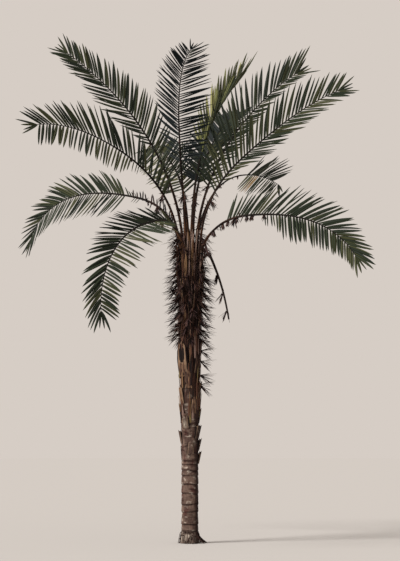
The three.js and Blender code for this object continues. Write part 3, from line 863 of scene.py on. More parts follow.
def model_stem():
    """A disc drawn up row by row, and scaled at each row."""
    rows = stem_rows()
    deselect()
    bpy.ops.mesh.primitive_circle_add(vertices=STEM_SIDES, radius=rows[0][1], fill_type="NGON")
    stem = bpy.context.object
    stem.name = "stem_bark"
    bpy.ops.object.mode_set(mode="EDIT")
    bpy.ops.mesh.select_all(action="SELECT")
    for (low, narrow), (high, wide) in zip(rows, rows[1:]):
        bpy.ops.mesh.extrude_region_move(TRANSFORM_OT_translate={"value": (0, 0, high - low)})
        growth = wide / narrow
        bpy.ops.transform.resize(value=(growth, growth, 1), center_override=(0, 0, high))
    bpy.ops.mesh.select_all(action="SELECT")
    bpy.ops.mesh.normals_make_consistent(inside=False)
    bpy.ops.object.mode_set(mode="OBJECT")
    return stem


def band_swell(level):
    """Bands of bark between the scars swell at their feet and draw in at their tops."""
    scars = np.array(SCAR_HEIGHTS)
    floors = np.concatenate(([0], scars))
    ceilings = np.concatenate((scars, [scars[-1] + FLARE_HEIGHT]))
    band = np.searchsorted(scars, level)
    share = np.clip((level - floors[band]) / (ceilings[band] - floors[band]), 0, 1)
    return BAND_SWELL * (1 - 2 * share)


def scar_lines(gaps, tall):
    """1 along each scar, falling off within its height. Each row of gaps is one corner's, to every scar."""
    return np.exp(-((np.min(np.abs(gaps), axis=1) / tall) ** 2))


def stem_scars(angle, height, dice):
    """The wavy level of each corner, and its scars: full rings, faint ones in patches, and slanting ones."""
    level = height + SCAR_WAVE * ripple(angle, (1, 2, 3), dice) * ripple(height * 6, (1, 2.3), dice)
    broken = mix(SCAR_FAINTEST, 1.0, 0.5 + 0.5 * ripple(angle + height * 9, (2, 5), dice))
    main = scar_lines(level[:, None] - SCAR_HEIGHTS, SCAR_TALL) * broken
    patches = smoothstep(ripple(angle + height * 5, (1, 3), dice), -0.2, 0.4)
    faint_heights = dice.uniform(*FAINT_SCAR_HEIGHTS, FAINT_SCARS)
    faint = scar_lines(level[:, None] - faint_heights, FAINT_SCAR_TALL) * patches * FAINT_SCAR_STRENGTH
    middles, rises = np.array(SLANT_SCARS).T
    slants = scar_lines(level[:, None] - middles - rises * np.cos(angle)[:, None], SCAR_TALL) * broken
    return level, np.maximum.reduce((main, faint, slants))


def carve_stem(stem):
    """Scars and swelling bands on the lower stem, fibre grooves above, and lumps all over."""
    dice = np.random.default_rng([SEED, 1])
    points = corners_of(stem.data)
    x, y, height = points.T
    angle = np.arctan2(y, x)
    level, scars = stem_scars(angle, height, dice)
    ringed = 1 - smoothstep(height, SLEEVE_FLOOR, SLEEVE_FLOOR + SLEEVE_FADE)
    grooves = ripple(angle, (19, 31, 43), dice) * ripple(height, (3, 7), dice)
    lumps = ripple(angle * 2 + height * 5, (1, 3), dice) * ripple(height * 7, (1, 1.7), dice)
    push = band_swell(level) * ringed - SCAR_DEPTH * scars
    push = push + SLEEVE_GROOVE * grooves * (1 - ringed) + STEM_LUMP * lumps
    push = np.where((height <= 0) | (height >= SHELF_HEIGHT), 0, push)
    points[:, :2] *= (1 + push / np.hypot(x, y))[:, None]
    set_corners(stem.data, points)
    paint(stem.data, "scar", scars)
    paint(stem.data, "sleeve", smoothstep(height, *SLEEVE_DARKENS))
    # Painted shade on the viewer's right side
    paint(stem.data, "painted_shade_and_dark", painted_shade_side(points))
    paint(stem.data, "pale", np.exp(-(((height - PALE_RING_HEIGHT) / PALE_RING_TALL) ** 2)))


def make_stem(bark):
    stem = model_stem()
    carve_stem(stem)
    stem.data.materials.append(bark)
    smooth(stem, degrees=50)
    dress(stem, "trunk_bark", "trunk")


def root_paths(azimuths, tops, starts, reaches, along, spread, fall, dice):
    """Lines from the stem's foot to the ground. Over 1, spread runs out late and fall drops late."""
    out = mix(starts[:, None], reaches[:, None], along ** spread)
    height = tops[:, None] * (1 - along ** fall) + ROOT_END_HEIGHT
    bend = azimuths[:, None] + dice.uniform(-ROOT_BEND, ROOT_BEND, len(azimuths))[:, None] * along ** 2
    return on_ring(out, bend, height)


def add_roots(name, bark, paths, radii, sides, dark, dice):
    """Some roots are painted darker than others, within the range `dark`, and all carry painted shade on the
    viewer's right.
    """
    points, quads, ends = tubes(paths, radii, sides)
    points[..., 2] = np.maximum(points[..., 2], GROUND_CLEAR)
    roots = add_piece(name, points, face_list(quads, ends), [bark])
    dark = np.repeat(dice.uniform(*dark, len(paths)), points[0].size // 3)
    # Painted shade on the viewer's right side, and a darkness dealt to each root at random
    paint(roots.data, "painted_shade_and_dark", np.maximum(dark, painted_shade_side(points.reshape(-1, 3))))
    smooth(roots, degrees=60)
    dress(roots, "trunk_bark")


def make_roots(bark):
    """The main roots, and thin rootlets that hang round the foot."""
    dice = np.random.default_rng([SEED, 2])
    azimuths = np.arange(ROOT_COUNT) * math.tau / ROOT_COUNT
    azimuths = azimuths + dice.uniform(-ROOT_STRAY, ROOT_STRAY, ROOT_COUNT)
    rightward = 0.5 + 0.5 * np.cos(azimuths)
    reaches = mix(*ROOT_REACH, rightward) * dice.uniform(*ROOT_REACH_UNEVEN, ROOT_COUNT)
    starts = np.full(ROOT_COUNT, STEM_RADIUS - ROOT_SUNK)
    tops = mix(*ROOT_TOP, rightward) * dice.uniform(*ROOT_TOP_UNEVEN, ROOT_COUNT)
    along = np.linspace(0, 1, ROOT_STATIONS)
    stout = mix(*ROOT_STOUT, rightward) * dice.uniform(*ROOT_STOUT_UNEVEN, ROOT_COUNT)
    radii = mix(ROOT_RADIUS, ROOT_TIP_RADIUS, along) * stout[:, None]
    paths = root_paths(azimuths, tops, starts, reaches, along, spread=1.6, fall=1.0, dice=dice)
    add_roots("surface_roots", bark, paths, radii, sides=9, dark=(0.3, 1.0), dice=dice)

    azimuths = dice.uniform(0, math.tau, ROOTLET_COUNT)
    tops = dice.uniform(*ROOTLET_TOP, ROOTLET_COUNT)
    starts = stem_radius(tops) - ROOTLET_SUNK
    reaches = starts + dice.uniform(*ROOTLET_RUN, ROOTLET_COUNT)
    along = np.linspace(0, 1, ROOTLET_STATIONS)
    radii = dice.uniform(*ROOTLET_RADIUS, (ROOTLET_COUNT, 1)) * mix(1, ROOTLET_TIP, along)
    paths = root_paths(azimuths, tops, starts, reaches, along, spread=0.6, fall=1.5, dice=dice)
    add_roots("rootlets", bark, paths, radii, sides=5, dark=(0.7, 1.0), dice=dice)


# Old leaf bases
@dataclass
class Boot:
    """Rank runs from 0 low on the stem to 1 at the crown. The azimuth is in radians."""
    rank: float
    azimuth: float
    foot: float
    tall: float
    wide: float
    stand: float
    lift: float
    round: float = BOOT_ROUND
    hollow: float = 0
    bulge: float = 0
    pale: float = 0


# A sheath that has opened: a cup with painted shade in its hollow, on the viewer's left
OPENED = Boot(
    rank=0.40,
    azimuth=math.radians(226),
    foot=2.95,
    tall=0.62,
    wide=0.230,
    stand=0.085,
    lift=0.020,
    round=0.1,
    hollow=0.55,
    bulge=0.012,
)


def boot_sizes(index):
    """Sizes and place of a boot, by its number on the spiral."""
    rank = index / (BOOT_COUNT - 1)
    return Boot(
        rank=rank,
        azimuth=index * BOOT_SPIRAL,
        foot=mix(BOOT_FLOOR, BOOT_CEILING, rank),
        tall=mix(*BOOT_TALL, rank),
        wide=mix(*BOOT_WIDE, rank),
        stand=mix(*BOOT_STAND, rank),
        lift=mix(*BOOT_LIFT, rank),
        bulge=BULGES.get(index, 0),
        pale=float(index == PALE_BOOT),
    )


def boot_points(boot, out, across, up):
    """Places on a boot: out from 0 to 1, across from -1 to 1, and up from its foot at 0 to its top at 1."""
    height = boot.foot + boot.tall * up
    skin = stem_radius(height)
    inner = mix(skin - BOOT_SUNK, skin + boot.lift, smoothstep(up, BOOT_LIFT_FROM, 1))
    crown = 1 - boot.round * across ** 2
    hollow = boot.hollow * smoothstep(up, *HOLLOW_DEEPENS) * (1 - across ** 2)
    outer = skin + boot.stand * mix(BOOT_FOOT_STAND, 1, up) * (crown - hollow)
    angle = across * boot.wide * mix(1, BOOT_TOP_WIDE, up) / 2 / skin + boot.azimuth
    return on_ring(mix(inner, outer, out), angle, height)


def model_boot():
    """A block with a hollowed top, that each leaf base is bent from."""
    deselect()
    bpy.ops.mesh.primitive_cube_add(size=1, location=(0.5, 0, 0.5))
    block = bpy.context.object
    bpy.ops.object.transform_apply(location=True)
    bpy.ops.object.mode_set(mode="EDIT")
    bpy.ops.mesh.select_all(action="SELECT")
    bpy.ops.mesh.subdivide(number_cuts=BOOT_CUTS)
    bpy.ops.mesh.select_all(action="DESELECT")
    bpy.ops.object.mode_set(mode="OBJECT")
    for face in block.data.polygons:
        face.select = face.normal.z > 0.9
    bpy.ops.object.mode_set(mode="EDIT")
    bpy.ops.mesh.inset(thickness=BOOT_WALL, depth=-BOOT_DISH)
    bpy.ops.object.mode_set(mode="OBJECT")
    return block


def bend_boot(block, boot, name, finish, seed, *nodes):
    """Bends a copy of the block to a boot's place, with a frayed top, round shoulders and grooves."""
    dice = np.random.default_rng([SEED, 3, seed])
    mesh = block.data.copy()
    out, across, up = corners_of(mesh).T
    across = across * 2
    fray = BOOT_FRAY * ripple(across * 4, (1, 2.3, 4.1), dice) * smoothstep(up, BOOT_FRAY_FROM, 1)
    shoulder = BOOT_SHOULDER * across ** 2 * smoothstep(up, BOOT_SHOULDER_FROM, 1)
    points = boot_points(boot, out, across, up + fray - shoulder)
    grooves = BOOT_GROOVE * ripple(across * 9, (1, 1.7, 2.6), dice)
    bulge = boot.bulge * np.sin(math.pi * np.clip(up, 0, 1))
    points[:, :2] *= (1 + (grooves + bulge) * out / np.hypot(points[:, 0], points[:, 1]))[:, None]
    set_corners(mesh, points)
    # Painted shade in the hollow at the cut top
    cut_top = smoothstep(up, BOOT_CUT_FROM, 1.0) * (1 - out)
    # A lens of painted shade in the opened sheath's hollow
    lens = 1 - (across / HOLLOW_HALF_WIDE) ** 2 - ((up - HOLLOW_MIDDLE) / HOLLOW_HALF_TALL) ** 2
    shadow = (boot.hollow > 0) * smoothstep(lens, 0, HOLLOW_FADE)
    patch = np.exp(-((across / PALE_HALF_WIDE) ** 2) - ((up - PALE_MIDDLE) / PALE_HALF_TALL) ** 2)
    paint(mesh, "rank", np.full(len(points), boot.rank))
    # edge: the sides, the cut top and the hollow, where shade is painted
    paint(mesh, "edge", np.maximum.reduce((np.abs(across), cut_top, shadow)))
    # The painted highlight on the bulging boot
    paint(mesh, "pale", boot.pale * patch)
    # Painted shade on the viewer's right side
    paint(mesh, "painted_shade_and_dark", painted_shade_side(points))
    mesh.materials.append(finish)
    piece = bpy.data.objects.new(name, mesh)
    bpy.context.scene.collection.objects.link(piece)
    smooth(piece, degrees=45)
    dress(piece, "leaf_base", *nodes)


def make_boots(finish):
    block = model_boot()
    for index in range(BOOT_COUNT):
        number = f"{index + 1:02d}"
        bend_boot(block, boot_sizes(index), f"old_leaf_base_{number}", finish, index, f"leaf_base_{number}")
    for index, (azimuth, foot) in enumerate(STUBS):
        stub = Boot(rank=0.1, azimuth=math.radians(azimuth), foot=foot, **STUB_SIZES)
        bend_boot(block, stub, f"old_stub_{index + 1}", finish, BOOT_COUNT + index)
    bend_boot(block, OPENED, "opened_sheath", finish, BOOT_COUNT + len(STUBS))
    bpy.data.objects.remove(block)


# Strips of old sheath, fibres and snapped stalks
def add_dealt(name, tones, points, quads, ends, dice):
    """Joins thin things in one piece, and deals out a tone to each."""
    dealt = tone_list(dice.integers(0, len(tones), len(points)), quads, ends)
    dress(add_piece(name, points, face_list(quads, ends), tones, dealt), "leaf_base")


def add_strips(name, tones, radius, angle, height, wide, dice):
    centres = on_ring(radius, angle, height)
    normals = on_ring(1.0, angle, 0.0)
    sideways = np.cross(unit(np.gradient(centres, axis=1)), normals)
    add_dealt(name, tones, *ribbons(centres, sideways, normals, wide, STRIP_THICK, STRIP_FOLD), dice)


def make_strips(name, tones, count, feet, widths, seed):
    """Strips of old leaf sheath that lie up the stem between the leaf bases, loose at the top."""
    dice = np.random.default_rng([SEED, 5, seed])
    shape = (count, 1)
    along = np.linspace(0, 1, len(STRIP_OUTLINE))
    foot = dice.uniform(*feet, shape)
    height = np.minimum(foot + dice.uniform(*STRIP_LENGTH, shape) * along, STRIP_CEILING)
    radius = stem_radius(height) + dice.uniform(*STRIP_STAND, shape)
    radius = radius + dice.uniform(*STRIP_LOOSE, shape) * along ** 2
    angle = dice.uniform(0, math.tau, shape) + dice.uniform(-STRIP_TURN, STRIP_TURN, shape) * along
    wide = dice.uniform(*widths, shape) * STRIP_OUTLINE
    add_strips(name, tones, radius, angle, height, wide, dice)


def make_crown_strips(tones):
    """Torn sheaths that stand up between the stalks, and others that wrap the edge of the crown's seat."""
    dice = np.random.default_rng([SEED, 10])
    shape = (CROWN_STRIP_COUNT, 1)
    along = np.linspace(0, 1, len(CROWN_STRIP_OUTLINE))
    wrapping = np.arange(CROWN_STRIP_COUNT)[:, None] % 2 == 0
    foot = np.where(wrapping, dice.uniform(*WRAPPING_FOOT, shape), dice.uniform(*STANDING_FOOT, shape))
    height = SHELF_HEIGHT + foot + dice.uniform(*CROWN_STRIP_LENGTH, shape) * along
    seat = np.where(wrapping, dice.uniform(*WRAPPING_SEAT, shape), dice.uniform(*STANDING_SEAT, shape))
    radius = seat + dice.uniform(*CROWN_STRIP_LEAN, shape) * along ** 2
    turn = CROWN_STRIP_TURN
    angle = dice.uniform(0, math.tau, shape) + dice.uniform(-turn, turn, shape) * along
    wide = dice.uniform(*CROWN_STRIP_WIDE, shape) * CROWN_STRIP_OUTLINE
    add_strips("crown_sheaths", tones, radius, angle, height, wide, dice)


def make_fibres(tones):
    """Thin fibres that hang from the seat of the crown."""
    dice = np.random.default_rng([SEED, 6])
    shape = (FIBRE_COUNT, 1)
    along = np.linspace(0, 1, FIBRE_STATIONS)
    top = mix(*FIBRE_TOP, dice.uniform(0, 1, shape) ** FIBRE_TOP_POWER)
    height = top - dice.uniform(*FIBRE_LENGTH, shape) * along ** FIBRE_FALL
    skin = stem_radius(np.minimum(top, SHELF_HEIGHT - SHELF_LIP)) - FIBRE_SUNK
    radius = skin + dice.uniform(*FIBRE_STAND, shape) * np.sin(along * FIBRE_CURL)
    angle = dice.uniform(0, math.tau, shape) + dice.uniform(-FIBRE_TURN, FIBRE_TURN, shape) * along
    radii = dice.uniform(*FIBRE_RADIUS, shape) * np.linspace(1, FIBRE_TIP, FIBRE_STATIONS)
    add_dealt("crown_fibres", tones, *tubes(on_ring(radius, angle, height), radii, sides=3), dice)


def make_snapped_stalks(finish):
    """Short stubs of old stalks that lean out from the upper stem."""
    azimuth, foot = np.array(SNAPPED_STALKS).T[:, :, None]
    along = np.linspace(0, 1, len(SNAPPED_RADII))
    radius = stem_radius(foot) - SNAPPED_SUNK + SNAPPED_REACH * along
    height = foot + SNAPPED_REACH * along ** SNAPPED_CURVE
    paths = on_ring(radius, np.radians(azimuth), height)
    points, quads, ends = tubes(paths, np.ones_like(azimuth) * SNAPPED_RADII, sides=8)
    stubs = add_piece("snapped_stalks", points, face_list(quads, ends), [finish])
    smooth(stubs, degrees=50)
    dress(stubs, "leaf_base")


# Spines: tufts that fan out from a point
def fan(roots, outward, hang, tufts, dice):
    """Spines of a tuft at each root: they lean out, along `hang`, and to the sides."""
    roots, outward, hang = (np.repeat(part, tufts.count, axis=0) for part in (roots, outward, hang))
    total = len(roots)
    sideways = np.cross(outward, hang)
    aside = dice.uniform(-tufts.spread, tufts.spread, (total, 1))
    directions = unit(outward + sideways * aside + hang * dice.uniform(*tufts.dip, (total, 1)))
    starts = roots - directions * SPINE_SUNK + dice.normal(0, SPINE_SCATTER, (total, 3))
    return starts, directions, dice.uniform(*tufts.lengths, total)


def add_spines(name, slot, fans, tones, wide, dice):
    starts, directions, lengths = (np.concatenate(parts) for parts in zip(*fans))
    points, faces = spikes(starts, directions, lengths, wide)
    dealt = np.tile(dice.integers(0, len(tones), len(starts)), len(faces) // len(starts))
    dress(add_piece(name, points, faces, tones, dealt), slot)


def stem_fan(angle, height, tufts, dice):
    """Tufts on the stem at these angles and heights, that hang from it."""
    roots = on_ring(stem_radius(height) + TUFT_STAND, angle, height)
    hang = np.tile(DOWN, (len(roots), 1))
    return fan(roots, on_ring(1.0, angle, 0.0), hang, tufts, dice)


def make_stem_spines(tones):
    """Tufts all round the upper stem, and a few below them on the viewer's right."""
    dice = np.random.default_rng([SEED, 4])
    share = (np.arange(TUFT_COUNT) + dice.uniform(0, 1, TUFT_COUNT)) / TUFT_COUNT
    height = mix(TUFT_FLOOR, TUFT_CEILING, share)
    angle = np.arange(TUFT_COUNT) * BOOT_SPIRAL
    low_angle, low_height = np.array(LOW_TUFTS).T
    fans = [
        stem_fan(angle, height, STEM_TUFTS, dice),
        stem_fan(np.radians(low_angle), low_height, LOW_STEM_TUFTS, dice),
    ]
    add_spines("stem_spines", "leaf_base", fans, tones, SPINE_WIDE, dice)


# Fronds
def heading(frond, along):
    """Which way the rib runs at these shares of its length, before its azimuth turns it."""
    share = np.minimum(1, along / frond.lean_end)
    ease = mix(smoothstep(share, 0, 1), np.sin(share * math.pi / 2), frond.early)
    steep = np.radians(frond.rise - frond.lean * ease - frond.arch * along ** frond.arch_power)
    turn = np.radians(frond.sweep * along)
    flat = np.cos(steep)
    return np.stack((flat * np.cos(turn), flat * np.sin(turn), np.sin(steep)), axis=-1)


def seat_of(frond):
    if frond.start is not None:
        return np.array(frond.start)
    radius, height = frond.seat
    return on_ring(radius, math.radians(frond.azimuth), height)


def trace(frond, along):
    """The rib's points at these shares of its length, and its axes: ahead, across, and its face."""
    steps = (np.arange(TRACE_STEPS) + 0.5) / TRACE_STEPS
    walked = np.cumsum(heading(frond, steps), axis=0) * frond.length / TRACE_STEPS
    line = np.vstack((np.zeros(3), walked))
    shares = np.linspace(0, 1, TRACE_STEPS + 1)
    points = np.stack([np.interp(along, shares, line[:, axis]) for axis in range(3)], axis=-1)
    ahead = heading(frond, along)
    turn = np.radians(frond.sweep * along)
    level = np.stack((-np.sin(turn), np.cos(turn), np.zeros_like(turn)), axis=-1)
    roll = np.radians(frond.roll * smoothstep(along, ROLL_START, BLADE_START))
    across = turned(level, ahead, roll)
    face = np.cross(ahead, across)
    azimuth = math.radians(frond.azimuth)
    axes = [around_z(vectors, azimuth) for vectors in (ahead, across, face)]
    return around_z(points, azimuth) + seat_of(frond), *axes


def rib_radius(frond, along):
    return mix(frond.stalk, frond.tip, along ** RIB_POWER)


def stalk_section():
    """Round below, with a shallow channel along the upper face."""
    section = round_section(RIB_SIDES)
    section[:, 1] = np.minimum(section[:, 1], RIB_FLAT)
    section[RIB_SIDES // 4, 1] = RIB_CHANNEL
    return section


def make_rib(frond, nodes, finish, slot):
    """A frond's stalk and rib in one, widened at the foot to a sheath unless it is a broken piece."""
    along = np.linspace(0, 1, RIB_STATIONS)
    points, _, across, face = trace(frond, along)
    sheathed = frond.length > SHEATHED_LENGTH
    sheath = 1 + SHEATH_WIDEN * (1 - smoothstep(along, 0, SHEATH_END)) * sheathed
    wide = across * sheath[:, None]
    radii = rib_radius(frond, along)
    corners, quads, ends = sweep(points[None], wide[None], face[None], radii[None], stalk_section())
    rib = add_piece(f"{frond.name}_rib", corners, face_list(quads, ends), [finish])
    paint(rib.data, "along", np.repeat(along, RIB_SIDES))
    paint(rib.data, "around", np.tile(np.abs(np.linspace(-1, 1, RIB_SIDES)), RIB_STATIONS))
    smooth(rib, degrees=50)
    dress(rib, slot, *nodes)


def leaflet_row(frond, side, dice):
    """One row of leaflets: share along the rib, side, angle from the rib, length, and pull downwards."""
    count = frond.pairs
    low = side * frond.roll < 0
    stagger = LEAFLET_STAGGER * side
    shift = dice.uniform(-LEAFLET_SHIFT, LEAFLET_SHIFT, count)
    share = np.clip((np.arange(count) + 0.5 + stagger + shift) / count, 0, 1)
    angle = mix(*(frond.low_angles if low else frond.angles), share ** LEAFLET_ANGLE_POWER)
    angle = angle + dice.uniform(-LEAFLET_STRAY, LEAFLET_STRAY, count)
    ends = mix(LEAFLET_FOOT_LENGTH, frond.tip_length, share)
    fullness = mix(ends, 1, np.sin(math.pi * share ** LEAFLET_FULL_POWER))
    if low:
        fullness = mix(fullness, 1, frond.low_even)
    length = frond.leaflet * fullness * dice.uniform(*LEAFLET_UNEVEN, count)
    pull = np.zeros(count)
    kept = dice.uniform(0, 1, count) > LEAFLET_LOST
    if not low:
        kept &= share <= frond.top_end
    if frond.thin_foot:
        first, last = THIN_FOOT_GROWS
        grown = smoothstep(share, first * frond.thin_foot, last * frond.thin_foot)
        length = length * mix(THIN_FOOT_LENGTH, 1, grown)
        kept &= dice.uniform(0, 1, count) < mix(THIN_FOOT_KEPT, 1, grown)
    if low:
        length = length * frond.low_length
        pull = frond.hang * mix(*HANG_GROWTH, share) * dice.uniform(*HANG_UNEVEN, count)
        kept &= share >= frond.late_row
    if low and frond.late_row:
        grown = smoothstep(share, frond.late_row, frond.late_row + LATE_ROW_GROWS)
        length = length * mix(LATE_ROW_LENGTH, 1, grown)
    along = mix(frond.blade_start, BLADE_END, share)
    return np.stack((along, np.full(count, side), angle, length, pull), axis=-1)[kept]


def leaflet_rows(frond, dice):
    """All leaflets of a frond: both rows, the fan at the tip, and any on the stalk."""
    along = (BLADE_END + 1) / 2
    upper = np.sign(frond.roll)
    sides = (-1, 1) if frond.top_end == 1 else (-upper,)
    rows = [(along, side, angle, frond.leaflet * share, 0) for angle, share in TIP_FAN for side in sides]
    for along in np.linspace(FOOT_LEAFLET_START, frond.blade_start, frond.foot_leaflets):
        angle = dice.uniform(*FOOT_LEAFLET_ANGLE)
        rows.append((along, upper, angle, dice.uniform(*FOOT_LEAFLET_LENGTH), FOOT_LEAFLET_PULL))
    return np.concatenate((leaflet_row(frond, -1, dice), leaflet_row(frond, 1, dice), rows))


def leaflet_blades(frond, rows, dice, wide):
    """Every leaflet of a frond as a folded lance that sags a little towards its tip."""
    along, side, angle, length, pull = rows.T
    count = len(rows)
    root, ahead, across, face = trace(frond, along)
    stray = dice.uniform(-LEAFLET_LIFT_STRAY, LEAFLET_LIFT_STRAY, count)
    lift = np.radians(frond.lift + stray)[:, None]
    side = side[:, None]
    outward = across * side * np.cos(lift) + face * np.sin(lift)
    lay = np.radians(angle)[:, None]
    direction = ahead * np.cos(lay) + outward * np.sin(lay)
    share = np.minimum(np.abs(pull), HANG_LIMIT)[:, None]
    direction = unit(mix(direction, DOWN * np.sign(pull)[:, None], share))
    upper = np.cross(ahead, outward) * side
    upper = unit(upper - direction * np.sum(upper * direction, axis=1, keepdims=True))
    upper = turned(upper, direction, np.radians(dice.uniform(-LEAFLET_TWIST, LEAFLET_TWIST, count)))
    sideways = np.cross(direction, upper)
    root = root - direction * (LEAFLET_SUNK * rib_radius(frond, along))[:, None]

    share = LEAFLET_STATIONS[None, :, None]
    sag = dice.uniform(*LEAFLET_DROOP, count)[:, None, None]
    hook = dice.uniform(*LEAFLET_HOOK, count)[:, None, None]
    bend = DOWN * sag * share ** 2 + ahead[:, None] * hook * share ** 2.5
    centres = root[:, None] + (direction[:, None] * share + bend) * length[:, None, None]
    sideways = np.broadcast_to(sideways[:, None], centres.shape)
    normals = unit(np.cross(sideways, unit(np.gradient(centres, axis=1))))
    widest = dice.uniform(*wide, count) * np.clip(length / LEAFLET_FULL_WIDE, LEAFLET_LEAST_WIDE, 1)
    widths = widest[:, None] * LEAFLET_OUTLINE
    return ribbons(centres, sideways, normals, widths, LEAFLET_THICK, LEAFLET_FOLD)


def deal_tones(greens, count, dice):
    """A tone for each leaflet. Neighbours share it, spray by spray."""
    names, shares = zip(*greens.items())
    tones = []
    while len(tones) < count:
        name = dice.choice(names, p=np.array(shares) / sum(shares))
        tones += [TONE_NAMES.index(name)] * int(dice.integers(*SPRAY_SIZE))
    return np.array(tones[:count])


def face_tones(tones, under, quads):
    """Tones of all faces: the leaflet's own and the one beside it, as painted light and shade on the fold,
    on the upper halves, another below.
    """
    count, segments = quads.shape[:2]
    beside = [TONE_NAMES.index(FOLD_LIGHT_TONES.get(name, name)) for name in TONE_NAMES]
    dealt = np.empty((count, segments, 4), int)
    dealt[:, :, 0] = tones[:, None]
    # The second upper half in the tone beside, as painted light and shade on the fold
    dealt[:, :, 1] = np.array(beside)[tones][:, None]
    dealt[:, :, 2:] = TONE_NAMES.index(under)
    return np.concatenate((dealt.ravel(), np.tile(tones, 4)))


def add_leaflets(name, frond, rows, wide, leaves, dice):
    """Joins a frond's leaflets in one piece, and deals out their tones."""
    points, quads, ends = leaflet_blades(frond, rows, dice, wide)
    tones = deal_tones(GREENS[frond.greens], len(rows), dice)
    if frond.low_greens:
        low = rows[:, 1] * frond.roll < 0
        tones = np.where(low, deal_tones(GREENS[frond.low_greens], len(rows), dice), tones)
    return add_piece(name, points, face_list(quads, ends), leaves, face_tones(tones, frond.under, quads))


def make_leaflets(frond, node, leaves, slot, index):
    dice = np.random.default_rng([SEED, 7, index])
    rows = leaflet_rows(frond, dice)
    wide = np.array(LEAFLET_WIDE) * frond.wide
    blade = add_leaflets(f"{frond.name}_leaflets", frond, rows, wide, leaves, dice)
    dress(blade, slot, node)


def frond_nodes(frond):
    if frond.split:
        return f"{frond.name}_stalk", f"{frond.name}_blade"
    return (frond.name,)


def stalk_tufts(frond, tufts, dice):
    """Roots of the spine tufts along a stalk, each with its way out and the way back to the foot."""
    span = tufts.high - tufts.low
    count = max(2, int(span * frond.length / tufts.gap))
    stray = dice.uniform(-TUFT_STRAY, TUFT_STRAY, count) * span / count
    along = np.linspace(tufts.low, tufts.high, count) + stray
    points, ahead, across, face = trace(frond, along)
    angle = np.radians(dice.uniform(*tufts.turn, count))[:, None]
    outward = across * np.cos(angle) + face * np.sin(angle)
    return points + outward * rib_radius(frond, along)[:, None], outward, -ahead


def beard(frond, dice):
    """Small tufts that hang in a row under the bare foot of a blade."""
    roots, _, back = stalk_tufts(frond, BEARD_TUFTS, dice)
    down = np.tile(DOWN, (len(roots), 1))
    return fan(roots, down, back, BEARD_TUFTS, dice)


def bristles(frond, dice):
    """Single long spines that stand up along the bare foot of a blade."""
    roots, _, back = stalk_tufts(frond, BRISTLES, dice)
    up = np.tile(-DOWN, (len(roots), 1))
    return fan(roots, up, -back, BRISTLES, dice)


def make_stalk_spines(tones):
    """Spines along every stalk, with a beard under one and bristles on another."""
    dice = np.random.default_rng([SEED, 8])
    fans = []
    for frond in FRONDS:
        for tufts in STALK_TUFTS:
            fans.append(fan(*stalk_tufts(frond, tufts, dice), tufts, dice))
        if frond.name == BEARDED:
            fans.append(beard(frond, dice))
        if frond.name == BRISTLED:
            upright = [bristles(frond, dice)]
            add_spines("stalk_bristles", "frond_green", upright, tones[:2], BRISTLE_WIDE, dice)
    add_spines("stalk_spines", "frond_green", fans, tones, SPINE_WIDE, dice)


def tattered_rows(dice):
    """What is left of the leaflets on the hanging rib, in the columns of a leaflet row."""
    along = np.sort(dice.uniform(*TATTER_SPAN, TATTER_COUNT))
    side = dice.choice((-1, 1), TATTER_COUNT)
    angle = dice.uniform(*TATTER_ANGLE, TATTER_COUNT)
    length = dice.uniform(*TATTER_LENGTH, TATTER_COUNT) * mix(*TATTER_TAPER, along)
    return np.stack((along, side, angle, length, np.zeros(TATTER_COUNT)), axis=-1)


def make_broken(finish, leaves, tones):
    """The snapped stalk, and its hanging rib with the last of its leaflets and its spines."""
    dice = np.random.default_rng([SEED, 9])
    HANGING.start = trace(SNAPPED, np.array([1.0]))[0][0].tolist()
    make_rib(SNAPPED, [SNAPPED.name], finish, "frond_dead")
    make_rib(HANGING, [HANGING.name], finish, "frond_dead")
    rows = tattered_rows(dice)
    tatters = add_leaflets("frond_broken_leaflets", HANGING, rows, TATTER_WIDE, leaves, dice)
    dress(tatters, "frond_dead", HANGING.name)
    roots, outward, back = stalk_tufts(HANGING, BROKEN_TUFTS, dice)
    fans = [fan(roots, outward, -back, BROKEN_TUFTS, dice)]
    add_spines("frond_broken_spines", "frond_dead", fans, tones, BROKEN_SPINE_WIDE, dice)


# Stage, light and camera
def make_stage():
    deselect()
    place = (0, 0, -FLOOR_DROP)
    bpy.ops.mesh.primitive_circle_add(
        vertices=FLOOR_SIDES, radius=FLOOR_RADIUS, fill_type="NGON", location=place
    )
    floor = bpy.context.object
    floor.name = "floor"
    floor.data.materials.append(make_floor_finish())


def make_light():
    scene = bpy.context.scene
    scene.view_settings.view_transform = "Standard"
    world = bpy.data.worlds.new("soft_room")
    world.use_nodes = True
    backdrop = world.node_tree.nodes["Background"]
    backdrop.inputs["Color"].default_value = linear(PAPER)
    scene.world = world
    key = bpy.data.lights.new("key", "SUN")
    key.energy = KEY_ENERGY
    key.angle = KEY_SOFTNESS
    key.color = KEY_COLOUR
    lamp = bpy.data.objects.new("key", key)
    lamp.rotation_euler = KEY_TURN
    scene.collection.objects.link(lamp)


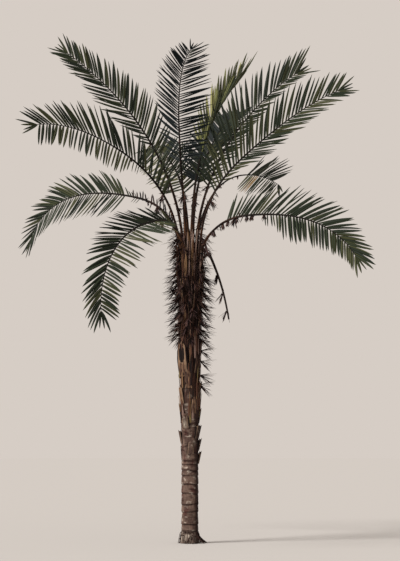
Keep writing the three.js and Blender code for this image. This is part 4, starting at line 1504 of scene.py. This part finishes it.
def place_camera():
    scene = bpy.context.scene
    data = bpy.data.cameras.new("picture_view")
    rise = VIEW_AIM[2] - VIEW_HEIGHT
    data.sensor_width = SENSOR
    data.lens = SENSOR * math.hypot(VIEW_DISTANCE, rise) / VIEW_TALL
    data.clip_end = VIEW_END
    camera = bpy.data.objects.new("picture_view", data)
    camera.location = (VIEW_AIM[0], -VIEW_DISTANCE, VIEW_HEIGHT)
    camera.rotation_euler = (math.radians(90) + math.atan2(rise, VIEW_DISTANCE), 0, 0)
    scene.collection.objects.link(camera)
    scene.camera = camera


def make_palm():
    bark = make_bark()
    boot_finish = make_boot_finish()
    green_stalk = make_stalk_finish("stalk", *GREEN_STALK)
    dead_stalk = make_stalk_finish("dead_stalk", *DEAD_STALK)
    leaves = [make_plain(f"leaf_{name}", tone, LEAF_ROUGHNESS) for name, tone in LEAF_TONES.items()]
    spines = [make_plain(f"spine_{name}", *looks) for name, looks in SPINE_TONES.items()]
    strips = [make_plain(f"strip_{name}", tone, STRIP_ROUGHNESS) for name, tone in STRIP_TONES.items()]
    dark, brown, ochre, black, mauve, pale, olive = strips
    fibres = [make_plain(f"fibre_{name}", tone, STRIP_ROUGHNESS) for name, tone in FIBRE_TONES.items()]
    make_stem(bark)
    make_roots(bark)
    make_boots(boot_finish)
    make_strips("sheath_strips", [dark, brown, ochre, black, mauve], *UPPER_STRIPS, seed=0)
    make_strips("lower_sheath_strips", [brown, ochre, olive, mauve, dark], *LOWER_STRIPS, seed=1)
    # The pale strips in the crown are painted light
    make_crown_strips([dark, brown, ochre, mauve, pale, black])
    make_fibres(fibres)
    make_snapped_stalks(dark)
    make_stem_spines(spines)
    for index, frond in enumerate(FRONDS):
        slot = "frond_young" if frond.name == "frond_young" else "frond_green"
        make_rib(frond, frond_nodes(frond), green_stalk, slot)
        make_leaflets(frond, frond_nodes(frond)[-1], leaves, slot, index)
    make_stalk_spines(spines)
    make_broken(dead_stalk, leaves, spines)


make_palm()
make_stage()
make_light()
place_camera()
